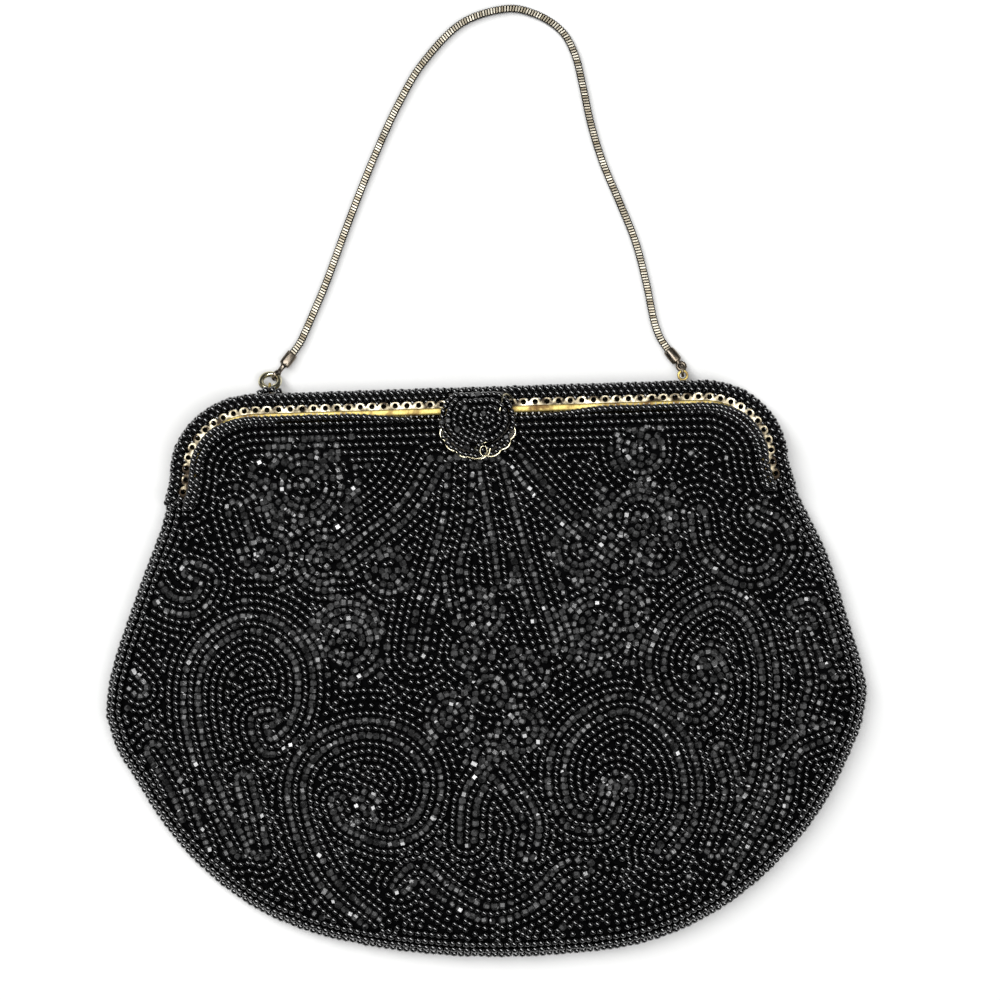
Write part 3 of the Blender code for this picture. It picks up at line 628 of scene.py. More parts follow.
# %% Place beads on either side of the bag
turn = np.linspace(0.0, math.pi / 2, 400)
level = np.hypot(TURN_HEIGHT * np.cos(turn), TURN_DEPTH * np.sin(turn))
turn_out, turn_up = TURN_HEIGHT * np.cos(turn) / level, TURN_DEPTH * np.sin(turn) / level
path_depth = TURN_DEPTH * (1 - np.cos(turn)) + SINK * turn_out
path_height = TURN_HEIGHT * np.sin(turn) - SINK * turn_up
path_reach = np.concatenate([[0.0], np.cumsum(np.hypot(np.diff(path_depth), np.diff(path_height)))])


def reach_from_rim(gap):
    """Length of the beads' path from the seam to a depth inside the rim."""
    return np.interp(gap, path_depth, path_reach) + np.maximum(gap - TURN_DEPTH, 0.0)


def on_bag(places, side):
    """Centre of the beads at plan places and the way out of the bag there; side is 1 in front, -1 behind."""
    gap = look_up(rim_gap, places)
    height = front_height if side > 0 else back_height
    top, seam = look_up(height, places), look_up(seam_height, places)
    angle = np.interp(gap, path_depth, turn)
    slope_y, slope_x = np.gradient(height, CELL)
    slope = np.stack([look_up(slope_x, places), look_up(slope_y, places)], axis=-1)
    face_up = unit(np.concatenate([-slope * side, np.ones((*slope.shape[:-1], 1))], axis=-1))
    face_up[..., 2] *= side
    face_out = np.concatenate([look_up_pair(outwards, places), np.zeros((*slope.shape[:-1], 1))], axis=-1)
    out_share = np.interp(gap, path_depth, turn_out)[..., None]
    up_share = np.interp(gap, path_depth, turn_up)[..., None]
    normal = unit(face_out * out_share + face_up * up_share)
    z = seam + (top - seam) * np.sin(angle) - side * SINK * up_share[..., 0]
    return np.concatenate([places, z[..., None]], axis=-1), normal


def look_up_pair(pair, places):
    return unit(np.stack([look_up(pair[..., 0], places), look_up(pair[..., 1], places)], axis=-1))


middle_bead = on_bag(np.array([[0.0, 0.0]]), 1)[0]
print("bead in the middle in mm:", (middle_bead / MM).round(1).tolist())
print("path round the edge in mm:", round(path_reach[-1] / MM, 1))

# %% [markdown]
# ## The pattern
# Scrolls, sprays from the clasp, a leaf and small rosettes are common old bead patterns. Each scroll is a
# black row between two rows of cut beads. The lines and rosettes are given in millimetres.

# %% Lines and rosettes of the pattern
# Name, points of the middle line (x, y), in millimetres
SCROLLS = (
    ("left_swirl", ((-75, -48.5), (-82, -32), (-87, -15.5), (-88, 0), (-84, 11.5), (-73, 19), (-62.5, 17.5),
                    (-54.5, 9), (-53.5, -3), (-57.5, -13), (-65, -17.5), (-68, -10), (-63.5, -8.5))),
    ("right_swirl", ((70.5, -51.5), (80, -34), (83.5, -14.5), (84.5, 2), (80, 17), (69.5, 23.5), (57.5, 17.5),
                     (51, 6), (53.5, -6), (62.5, -11), (68.5, -5), (66, 2.5))),
    ("lower_left_spiral", ((-35.5, -72.5), (-48.5, -60), (-55.5, -45), (-57.5, -29.5), (-51.5, -18),
                           (-38, -12.5), (-24.5, -15.5), (-16.5, -26.5), (-19.5, -40), (-30, -45.5),
                           (-42, -40.5), (-45, -34.5))),
    ("lower_right_spiral", ((52, -52.5), (58.5, -44), (60.5, -32), (56.5, -18.5), (46, -9), (35.5, -8.5),
                            (23.5, -17), (20, -30.5), (24, -41.5), (33, -43), (37.5, -35.5))),
    ("upper_right_loop", ((65, 47.5), (67, 37), (76, 29), (85, 29), (91, 36), (88.5, 43.5), (82.5, 47))),
    ("upper_left_stem", ((-73.5, 53.5), (-69.5, 39.5))),
    ("left_curl", ((-94.5, 46.5), (-99.5, 36), (-95.5, 27), (-86.5, 25), (-81.5, 32.5), (-87.5, 36))),
    ("spray_1", ((-13, 65), (-21, 53), (-33.5, 43), (-41, 37.5))),
    ("spray_2", ((-7, 65), (-8.5, 50), (-12.5, 36.5), (-17.5, 21.5), (-20, 9.5))),
    ("drop_left", ((-4, 64.5), (-5.5, 48), (-9, 33.5), (-7, 19.5))),
    ("drop_right", ((2, 64.5), (5.5, 43.5), (7, 30))),
    ("spray_3", ((5, 64.5), (9.5, 44.5), (14, 28), (19.5, 10))),
    ("spray_4", ((9.5, 67), (18, 56.5), (28.5, 45.5), (40, 35))),
    ("leaf_left", ((0.5, -25.5), (-5.5, -34.5), (-7, -46.5))),
    ("leaf_right", ((3.5, -27), (12, -41), (11, -51.5))),
    ("crescent", ((-27.5, -60.5), (-21.5, -56.5), (-12.5, -64), (-1, -70), (11.5, -66.5), (22, -57.5),
                  (28, -56.5))),
    ("right_edge_1", ((93.5, 18), (99.5, 18), (103.5, 5.5), (106, -0.5))),
    ("right_edge_2", ((96, 10.5), (99, -3), (95.5, -15))),
    ("right_edge_3", ((103, -18), (90.5, -24), (87, -39), (79, -53.5), (70, -66.5))),
    ("left_edge_1", ((-109, 6.5), (-103.5, 0.5))),
    ("left_edge_2", ((-100, -18), (-92.5, -31.5), (-87, -48.5))),
    ("left_teardrop", ((-73, -27.5), (-70.5, -40), (-69, -49))),
    ("right_teardrop", ((69.5, -23), (72.5, -35.5), (67, -53))),
)
# Rosettes of mostly cut beads: middle (x, y), radius, in millimetres
ROSETTES = (
    (-52.5, 60, 16.5), (-63.5, 39.5, 6.8), (-47, 37.5, 7.5), (-40.5, 13.5, 12), (-27.5, 34, 7.5),
    (33.5, 15.5, 13.5), (42.5, 21, 6), (29.5, 38, 9), (48, 46.5, 13.5), (52, 37.5, 6.8),
    (48.5, 67.5, 7.5), (-1, 21, 6.8), (-4.5, 9, 6), (12, 2.5, 6.8), (1.5, -3, 6), (-11, -10, 7.5),
    (10, -14, 7.5), (0.5, -22.5, 6), (66, 1, 6.8), (38, -32.5, 5.3), (-39, -38, 6),
)

scrolls = [smooth_through(np.array(points) * MM, FINE_STEP) for _, points in SCROLLS]
scroll_tree = tree_of(np.vstack(scrolls))
scroll_gap = on_grid(lambda x, y: scroll_tree.find((x, y, 0.0))[2])
rosette_middles = np.array([(x, y) for x, y, _ in ROSETTES]) * MM
rosette_sizes = np.array([size for *_, size in ROSETTES]) * MM
rosette_reach = np.hypot(plan_x[..., None] - rosette_middles[:, 0], plan_y[..., None] - rosette_middles[:, 1])
rosette_gap = rosette_reach.min(axis=-1)
rosette_fill = (rosette_reach / rosette_sizes).min(axis=-1)
print("lines:", len(scrolls), "rosettes:", len(ROSETTES))

# %% [markdown]
# ## Rows
# A bead worker fills the space between scrolls with rows that follow the nearest outline. That is what the
# level lines of a distance map look like. Each grid square that a level crosses gives a short piece of the
# row, and the pieces are chained into whole rows.

# %% Find the rows
MOST_ROWS = 13
RIM_MARGIN = 0.2 * MM
edge_rows = reach_from_rim(rim_gap) + ROW_STEP / 2
mouth_rows = mouth_gap + ROW_STEP / 2
row_map = np.minimum(np.minimum(scroll_gap, rosette_gap), np.minimum(edge_rows, mouth_rows)) / ROW_STEP
RIM_ROWS = 3
row_depths = np.interp((np.arange(1, RIM_ROWS + 1) - 0.5) * ROW_STEP, path_reach, path_depth)


def level_lines(values, level, allowed):
    """Chains of plan points where the grid's value crosses a level, with whether each chain is closed."""
    high = values > level
    square = np.stack([high[:-1, :-1], high[:-1, 1:], high[1:, 1:], high[1:, :-1]])
    crossed = square.any(axis=0) & ~square.all(axis=0)
    crossed &= allowed[:-1, :-1] & allowed[:-1, 1:] & allowed[1:, 1:] & allowed[1:, :-1]
    links = {}
    for row, column in zip(*np.nonzero(crossed)):
        corners = [(row, column), (row, column + 1), (row + 1, column + 1), (row + 1, column)]
        ends = []
        for start, end in zip(corners, corners[1:] + corners[:1]):
            if high[start] != high[end]:
                ends.append((start, end) if start < end else (end, start))
        for first, second in zip(ends[::2], ends[1::2]):
            links.setdefault(first, []).append(second)
            links.setdefault(second, []).append(first)

    def place(edge):
        (row, column), (row2, column2) = edge
        share = (level - values[row, column]) / (values[row2, column2] - values[row, column])
        return (grid_x[column] + (column2 - column) * share * CELL, grid_y[row] + (row2 - row) * share * CELL)

    chains = []
    open_ends = [edge for edge, others in links.items() if len(others) == 1]
    for start in open_ends + list(links):
        if start not in links:
            continue
        chain = [start]
        while chain[-1] in links:
            after = [other for other in links.pop(chain[-1]) if other in links or other == start]
            if not after:
                break
            chain.append(after[0])
        closed = len(chain) > 3 and chain[0] == chain[-1]
        chains.append((np.array([place(edge) for edge in chain[:-1 if closed else None]]), closed))
    return chains


rows = [("scroll", 0, line, False) for line in scrolls]
rim_line, rim_ahead = walk(rim, RIM_STEP)
rim_in = np.stack([rim_ahead[:, 1], -rim_ahead[:, 0]], axis=1)
rim_in *= np.sign((rim_in * (np.array([0.0, 0.0]) - rim_line)).sum(axis=1))[:, None]
for number, depth in enumerate(row_depths, 1):
    rows.append(("rim", number, rim_line + rim_in * depth, False))
allowed = in_bag & (rim_gap > row_depths[-1] + RIM_MARGIN)
for number in range(1, MOST_ROWS + 1):
    for line, closed in level_lines(row_map, float(number), allowed):
        if len(line) > 2:
            rows.append(("scroll" if number == 1 else "fill", number, line, closed))
print("rows:", len(rows))

# %% [markdown]
# ## Rules for one bead
# A bead must not sit on another one. Comparing it with all of them is slow, so a table of small squares
# keeps what lies where, and only near neighbours are compared. Rosettes and the rows beside a scroll get
# mostly cut beads. Which beads those are is left to chance, from a fixed seed, so that each run gives the
# same purse.

# %% Write the rules for one bead
CLOSEST = 0.80 * BEAD_STEP
PLAIN_EDGE = 5 * MM
SCROLL_REACH, ROSETTE_FRINGE = 1.2 * ROW_STEP, 1.25
CUT_IN_ROSETTE, CUT_BY_SCROLL, CUT_IN_FRINGE, CUT_ELSEWHERE = 0.72, 0.93, 0.25, 0.012
chance = np.random.default_rng(7)
taken = {}
bead_places, bead_ahead, bead_cut = [], [], []


def is_free(x, y, gap):
    column, row = int(x // BEAD_STEP), int(y // BEAD_STEP)
    for near_column in (column - 1, column, column + 1):
        for near_row in (row - 1, row, row + 1):
            for other_x, other_y in taken.get((near_column, near_row), ()):
                if (other_x - x) ** 2 + (other_y - y) ** 2 < gap * gap:
                    return False
    return True


def put(x, y, ahead, cut):
    taken.setdefault((int(x // BEAD_STEP), int(y // BEAD_STEP)), []).append((x, y))
    bead_places.append((x, y))
    bead_ahead.append(ahead)
    bead_cut.append(cut)


def is_cut(kind, number, x, y):
    place = np.array([x, y])
    fill = float(look_up(rosette_fill, place))
    edge = min(float(look_up(rim_gap, place)), float(look_up(mouth_gap, place)))
    if edge < PLAIN_EDGE:
        return False
    if fill < 1.0:
        return chance.random() < CUT_IN_ROSETTE
    if kind == "scroll" and number == 1 and float(look_up(scroll_gap, place)) < SCROLL_REACH:
        return chance.random() < CUT_BY_SCROLL
    return chance.random() < (CUT_IN_FRINGE if fill < ROSETTE_FRINGE else CUT_ELSEWHERE)


print("closest two beads in mm:", round(CLOSEST / MM, 2))

# %% [markdown]
# ## Laying the rows
# Beads are threaded along the rows in equal steps, and one that would sit on another is left out. The three
# rows along the rim come first, so that nothing breaks the outline. The scrolls and the rows beside them
# follow, and the rows that fill the rest come last.

# %% Lay the rows
EDGE_MARGIN = 0.9 * MM
order = {"rim": 0, "scroll": 1, "fill": 2}
on_rim = []
for kind, number, line, closed in sorted(rows, key=lambda row: (order[row[0]], row[1])):
    for (x, y), ahead in zip(*walk(line, BEAD_STEP, closed)):
        place = np.array([x, y])
        off_edge = min(float(look_up(mouth_gap, place)), float(look_up(rim_gap, place))) > EDGE_MARGIN
        if off_edge and is_free(x, y, CLOSEST):
            if kind == "rim":
                on_rim.append((x, y, ahead))
            else:
                put(x, y, ahead, is_cut(kind, number, x, y))
    if kind == "rim" and number == RIM_ROWS:
        # These rows are spaced by their path round the edge and look too close only in the plan, so all
        # three are kept whole and set together
        for x, y, ahead in on_rim:
            put(x, y, ahead, False)
in_rows = len(bead_places)
print("beads in rows, a side:", in_rows)

# %% [markdown]
# ## Closing the holes
# Where rows meet, holes stay open, and a worker closes them with single beads at the end. Each point of the
# grid is tried. One that is far enough from all beads gets a bead, turned along the row that would pass
# there.

# %% Close the holes
HOLE_GAP = 1.62 * MM
HOLE_FROM_MOUTH, HOLE_FROM_RIM = 1.0 * MM, 4 * MM
row_slope_y, row_slope_x = np.gradient(row_map, CELL)
for x, y in zip(plan_x.ravel(), plan_y.ravel()):
    place = np.array([x, y])
    if not is_free(x, y, HOLE_GAP) or look_up(in_bag.astype(float), place) != 1:
        continue
    if look_up(mouth_gap, place) > HOLE_FROM_MOUTH and look_up(rim_gap, place) > HOLE_FROM_RIM:
        slope = np.array([look_up(row_slope_x, place), look_up(row_slope_y, place)])
        on_slope = np.linalg.norm(slope) > 1e-6
        ahead = unit(np.array([-slope[1], slope[0]])) if on_slope else np.array([1.0, 0.0])
        put(x, y, ahead, is_cut("gap", 9, x, y))
bead_places, bead_ahead, bead_cut = np.array(bead_places), np.array(bead_ahead), np.array(bead_cut)
print("beads a side:", len(bead_places), "of them cut:", int(bead_cut.sum()))
print("single beads a side:", len(bead_places) - in_rows)

# %% [markdown]
# ## One round bead
# A seed bead is a short ring of glass with soft ends. It is a ball with few faces, squeezed along its
# thread, and its two poles are pushed in for the hole. Thousands are needed, so it has only 48 triangles.

# %% Model the round bead
def select_where(piece, test):
    """In edit mode, select the vertices that pass a test on their place."""
    bpy.ops.object.mode_set(mode="EDIT")
    bpy.ops.mesh.select_mode(type="VERT")
    bpy.ops.mesh.select_all(action="DESELECT")
    bpy.ops.object.mode_set(mode="OBJECT")
    for vertex in piece.data.vertices:
        vertex.select = bool(test(vertex.co))
    bpy.ops.object.mode_set(mode="EDIT")


def new_primitive(adder, name, **settings):
    """Add a primitive with nothing else selected."""
    if bpy.context.object and bpy.context.object.mode != "OBJECT":
        bpy.ops.object.mode_set(mode="OBJECT")
    bpy.ops.object.select_all(action="DESELECT")
    adder(**settings)
    piece = bpy.context.object
    piece.name = name
    return piece


BEAD_LENGTH = 1.92 * MM
POLE_PUSH, SHOULDER_PULL, SHOULDER_WIDEN = 0.82, 1.34, 1.05
round_bead = new_primitive(bpy.ops.mesh.primitive_uv_sphere_add, "round_bead", segments=8, ring_count=4,
                           radius=BEAD_SIZE / 2)
select_where(round_bead, lambda co: abs(co.z) > BEAD_SIZE * 0.45)
bpy.ops.transform.resize(value=(1.0, 1.0, POLE_PUSH * BEAD_LENGTH / BEAD_SIZE))
select_where(round_bead, lambda co: BEAD_SIZE * 0.1 < abs(co.z) and math.hypot(co.x, co.y) > 0.1 * MM)
bpy.ops.transform.resize(value=(SHOULDER_WIDEN, SHOULDER_WIDEN, SHOULDER_PULL * BEAD_LENGTH / BEAD_SIZE))
bpy.ops.object.mode_set(mode="OBJECT")
bpy.ops.object.shade_smooth()
print("round bead:", len(round_bead.data.polygons), "faces")
print("size in mm:", [round(side / MM, 2) for side in round_bead.dimensions])

# %% [markdown]
# ## One cut bead
# Cut beads are six-sided tube beads with flat facets that catch the light. A six-sided cylinder gets
# chamfered ends, and its faces stay flat.

# %% Model the cut bead
CUT_LENGTH = BEAD_LENGTH * 1.03
CHAMFER = 0.42 * MM
cut_bead = new_primitive(bpy.ops.mesh.primitive_cylinder_add, "cut_bead", vertices=6, radius=BEAD_SIZE / 2,
                         depth=CUT_LENGTH)
select_where(cut_bead, lambda co: True)
bpy.ops.mesh.select_mode(type="EDGE")
bpy.ops.mesh.select_all(action="DESELECT")
bpy.ops.object.mode_set(mode="OBJECT")
for edge in cut_bead.data.edges:
    start, end = (cut_bead.data.vertices[index].co for index in edge.vertices)
    edge.select = abs(start.z - end.z) < 1e-6
bpy.ops.object.mode_set(mode="EDIT")
bpy.ops.mesh.bevel(offset=CHAMFER, segments=1)
bpy.ops.object.mode_set(mode="OBJECT")
bpy.ops.object.shade_flat()
print("cut bead:", len(cut_bead.data.polygons), "faces")

# %% [markdown]
# ## Threading: one bead becomes thousands
# Copying a bead with an operator thousands of times is slow. Its corners are turned, scaled and moved as
# one array of numbers for all beads, and the result is one object. Each bead in it has a tone of its own,
# or, where facets are asked for, each face has.

# %% Stamp copies of a modelled shape
def joined_mesh(name, points, faces, count, smooth):
    """One mesh of many copies, from the corners of all copies in turn and the faces of one."""
    sizes = np.array([len(face) for face in faces])
    corners = np.concatenate([np.array(face) for face in faces])
    loops = (corners[None] + np.arange(count)[:, None] * (len(points) // count)).ravel()
    starts = np.concatenate([[0], np.cumsum(sizes)[:-1]])[None] + np.arange(count)[:, None] * sizes.sum()
    mesh = bpy.data.meshes.new(name)
    mesh.vertices.add(len(points))
    mesh.vertices.foreach_set("co", points.ravel())
    mesh.loops.add(len(loops))
    mesh.loops.foreach_set("vertex_index", loops)
    mesh.polygons.add(starts.size)
    mesh.polygons.foreach_set("loop_start", starts.ravel())
    mesh.polygons.foreach_set("use_smooth", np.full(starts.size, smooth))
    mesh.update(calc_edges=True)
    mesh.validate()
    return mesh


def stamp(name, shape, centres, ahead, out, material, body, scale=1.0, spin=0.0, smooth=True, vary=0.06,
          facets=False):
    """Joined copies of a shape: its Z goes along each row, its Y points out, and each copy gets a tone."""
    co = np.array([vertex.co for vertex in shape.data.vertices])
    faces = [tuple(face.vertices) for face in shape.data.polygons]
    count = len(centres)
    ahead = unit(ahead - out * (ahead * out).sum(axis=1, keepdims=True))
    side = np.cross(out, ahead)
    turned = np.cos(spin) if np.ndim(spin) else np.full(count, math.cos(spin))
    turned_side = np.sin(spin) if np.ndim(spin) else np.full(count, math.sin(spin))
    up = out * turned[:, None] + side * turned_side[:, None]
    side = np.cross(up, ahead)
    grow = (scale * (1 + chance.uniform(-vary, vary, count)))[:, None, None]
    points = (co[None, :, 0:1] * side[:, None] + co[None, :, 1:2] * up[:, None]
              + co[None, :, 2:3] * ahead[:, None]) * grow
    points = (points + centres[:, None]).reshape(-1, 3)
    mesh = joined_mesh(name, points, faces, count, smooth)
    tone = mesh.attributes.new("tone", "FLOAT", "FACE")
    tones = chance.random(count * len(faces)) if facets else np.repeat(chance.random(count), len(faces))
    tone.data.foreach_set("value", tones.astype(np.float32))
    piece = bpy.data.objects.new(name, mesh)
    bpy.context.scene.collection.objects.link(piece)
    dress(piece, material)
    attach(piece, body)
    return piece


print("corners of one round bead:", len(round_bead.data.vertices))

# %% [markdown]
# ## Sewing the beads on
# The same places serve for both sides of the bag, at their own heights. No bead on a hand-threaded row sits
# quite straight, so each is moved and tilted a little. Left and right halves are separate pieces, to keep
# each piece small.

# %% Sew the beads on the bag
PLACE_SPREAD, TILT_SPREAD = 0.05 * MM, 0.10
ROUND_SPIN, CUT_SPIN, CUT_VARY = 0.8, 1.05, 0.12


def thread_beads(name, centres, ahead, out, cut, body="bag", scale=1.0):
    """Round beads and cut beads as two pieces, with small tilts as on a hand-threaded row."""
    jitter = chance.normal(0.0, PLACE_SPREAD, centres.shape)
    tilt = chance.normal(0.0, TILT_SPREAD, centres.shape)
    if (~cut).any():
        spin = chance.uniform(0, ROUND_SPIN, int((~cut).sum()))
        stamp(name + "_round", round_bead, (centres + jitter)[~cut], unit(ahead + tilt)[~cut], out[~cut],
              GLASS, body, scale=scale, spin=spin)
    if cut.any():
        spin = chance.uniform(0, CUT_SPIN, int(cut.sum()))
        stamp(name + "_cut", cut_bead, (centres + jitter)[cut], unit(ahead + tilt * 2)[cut],
              unit(out + tilt * 2)[cut], CUT, body, scale=scale, spin=spin,
              smooth=False, vary=CUT_VARY, facets=True)


def flat_to_space(ahead):
    return np.concatenate([ahead, np.zeros((len(ahead), 1))], axis=1)


for side, side_name in ((1, "front"), (-1, "back")):
    centres, out = on_bag(bead_places, side)
    for half_name, half in (("left", centres[:, 0] < 0), ("right", centres[:, 0] >= 0)):
        thread_beads(f"beads_{side_name}_{half_name}", centres[half], flat_to_space(bead_ahead)[half],
                     out[half], bead_cut[half])
for piece in (round_bead, cut_bead):
    piece.hide_render = True
sewn = [piece for piece in bpy.data.objects if piece.name.startswith("beads")]
print("triangles in beads:", sum(len(piece.data.loops) - 2 * len(piece.data.polygons) for piece in sewn))

# %% [markdown]
# ## The cloth under the beads
# The beads are sewn to a dark cloth bag. Its outside is a copy of the solid bag's outer skin, made smooth
# and pulled in under the beads, and then given a thickness. The solid itself is hidden and stays for the
# physics.

# %% Make the cloth bag
WELD = 0.005 * MM
RAY_LIFT, MOUTH_FACING = 0.4 * MM, 0.75
CLOTH_SINK, CLOTH_THICKNESS = 1.55 * MM, 0.8 * MM


def copy_of(node, name):
    """A welded copy of a solid's mesh as a new piece."""
    piece = bpy.data.objects.new(name, nodes[node].data.copy())
    bpy.context.scene.collection.objects.link(piece)
    activate(piece)
    bpy.ops.object.mode_set(mode="EDIT")
    bpy.ops.mesh.select_all(action="SELECT")
    bpy.ops.mesh.remove_doubles(threshold=WELD)
    bpy.ops.mesh.tris_convert_to_quads()
    bpy.ops.object.mode_set(mode="OBJECT")
    return piece


def apply(piece, kind, **settings):
    """Add a modifier with settings and apply it."""
    activate(piece)
    modifier = piece.modifiers.new(kind.lower(), kind)
    for key, value in settings.items():
        setattr(modifier, key, value)
    bpy.ops.object.modifier_apply(modifier=modifier.name)


cloth = copy_of("pouch", "bag_cloth")
bpy.ops.object.mode_set(mode="EDIT")
bpy.ops.mesh.select_mode(type="FACE")
bpy.ops.mesh.select_all(action="DESELECT")
bpy.ops.object.mode_set(mode="OBJECT")
for face in cloth.data.polygons:
    # A face of the inside sees another face in front of it, and one of the mouth's edge looks at the frame
    covered = bag_surface.ray_cast(face.center + face.normal * RAY_LIFT, face.normal)[0] is not None
    face.select = covered or face.normal.y > MOUTH_FACING
bpy.ops.object.mode_set(mode="EDIT")
bpy.ops.mesh.delete(type="FACE")
bpy.ops.mesh.select_all(action="SELECT")
bpy.ops.transform.shrink_fatten(value=-CLOTH_SINK)
bpy.ops.object.mode_set(mode="OBJECT")
apply(cloth, "SUBSURF", levels=2, render_levels=2)
apply(cloth, "SOLIDIFY", thickness=CLOTH_THICKNESS, offset=-1.0)
bpy.ops.object.shade_smooth()
dress(cloth, CLOTH)
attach(cloth, "bag")
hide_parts("pouch")

# %% [markdown]
# ## The beaded rolls over the frame
# Both halves of the frame are hidden in a roll of cloth that is wound with short slanted rows of beads,
# like a twisted rope. A row runs over the roll's section from outside to inside while it drifts along the
# arch.

# %% Make the rolls
CLOSING = 6.8 * MM
ROLL_START = 1.45 * MM
# Depth and height over the roll's foot, in millimetres, from its outer foot to its inner edge
ROLL_SECTION = ((0.9, 0.0), (0.2, 0.8), (0.0, 1.85), (0.3, 2.95), (1.05, 3.8), (2.1, 4.1), (3.15, 3.75),
                (4.4, 3.2), (5.9, 2.3))
ROLL_ROW_STEP = 2.12 * MM
ROLL_SLANT = 3.4 * MM
ROLL_BEAD_SINK, ROLL_CORE_SINK = 0.98 * MM, 0.85 * MM
ROLL_FOOT_HEIGHT, ROLL_FOOT_DEPTH, ROLL_INNER_EDGE = 0.55 * MM, 1.0 * MM, 5.0 * MM
ROLL_OVERHANG = 2.2 * MM


def roll_path():
    """Depths, heights and ways out of the beads of one row on the roll."""
    section = smooth_through(np.array(ROLL_SECTION) * MM, 0.1 * MM)
    ahead = unit(np.gradient(section, axis=0))
    into = np.stack([ahead[:, 1], -ahead[:, 0]], axis=1)
    middle = section + into * ROLL_BEAD_SINK
    keep = (section[:, 1] > ROLL_FOOT_HEIGHT) | (section[:, 0] > ROLL_FOOT_DEPTH)
    keep &= section[:, 0] < ROLL_INNER_EDGE
    places, along = walk(middle[keep], BEAD_STEP)
    return places, along, np.stack([-along[:, 1], along[:, 0]], axis=1)


def bead_roll(name, side):
    """Wind one roll with slanted rows of beads; side is 1 in front, -1 behind."""
    section, section_ahead, section_out = roll_path()
    count = round((ARCH_LENGTH + ROLL_SLANT) / ROLL_ROW_STEP)
    share = np.linspace(1.0, 0.0, len(section))
    centres, ahead, out = [], [], []
    for row in range(-3, count + 2):
        along = (row + 0.5) * ROLL_ROW_STEP - ROLL_SLANT / 2 + ROLL_SLANT * share
        kept = (along > -ROLL_OVERHANG) & (along < ARCH_LENGTH + ROLL_OVERHANG)
        place, on, into = on_arch(along, section[:, 0])
        height = CLOSING + side * (ROLL_START + section[:, 1])
        way = into * section_ahead[:, :1] - on * (ROLL_SLANT / (len(section) * BEAD_STEP))
        centres.append(np.concatenate([place, height[:, None]], axis=1)[kept])
        ahead.append(np.concatenate([way, side * section_ahead[:, 1:]], axis=1)[kept])
        out.append(np.concatenate([into * section_out[:, :1], side * section_out[:, 1:]], axis=1)[kept])
    centres, ahead, out = (np.concatenate(values) for values in (centres, ahead, out))
    thread_beads(name, centres, unit(ahead), unit(out), np.zeros(len(centres), bool))
    return len(centres)


for side, side_name in ((1, "front"), (-1, "back")):
    core = copy_of("cover_" + side_name, "roll_cloth_" + side_name)
    bpy.ops.object.mode_set(mode="EDIT")
    bpy.ops.mesh.select_all(action="SELECT")
    bpy.ops.transform.shrink_fatten(value=-ROLL_CORE_SINK)
    bpy.ops.object.mode_set(mode="OBJECT")
    bpy.ops.object.shade_smooth_by_angle(angle=math.radians(50))
    dress(core, CLOTH)
    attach(core, "bag")
    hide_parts("cover_" + side_name)
    print(core.name, "beads:", bead_roll("roll_beads_" + side_name, side))

# %% [markdown]
# ## The front half of the frame
# Real frames are stamped from thin brass: a flat strip, and a polished rail on its inner edge. A short
# length of each is modelled straight, repeated with an Array, and then carried round the arch, so it bends
# with it.

# %% Make the strip and the rail
BAR_FOOT, BAR_STEP = 6.95 * MM, 1.2 * MM
RAIL_WIDTH, RAIL_TOP, RAIL_EDGE = 2.1 * MM, 12.7 * MM, 0.55 * MM
STRIP_END, STRIP_TOP, STRIP_EDGE = 3.6 * MM, 7.95 * MM, 0.15 * MM
STRIP_DEPTHS = (0.8 * MM, RAIL_DEPTH - 0.02 * MM)


def carry_round(piece):
    """Bend a straight piece onto the arch: X goes along it, Y into it."""
    co = np.array([vertex.co for vertex in piece.data.vertices])
    place, _, _ = on_arch(co[:, 0], co[:, 1])
    piece.data.vertices.foreach_set("co", np.concatenate([place, co[:, 2:]], axis=1).ravel())
    piece.data.update()


def turn_outwards(piece):
    """Weld a piece and turn all its faces outwards."""
    activate(piece)
    bpy.ops.object.mode_set(mode="EDIT")
    bpy.ops.mesh.select_all(action="SELECT")
    bpy.ops.mesh.remove_doubles(threshold=0.004 * MM)
    bpy.ops.mesh.normals_make_consistent(inside=False)
    bpy.ops.object.mode_set(mode="OBJECT")


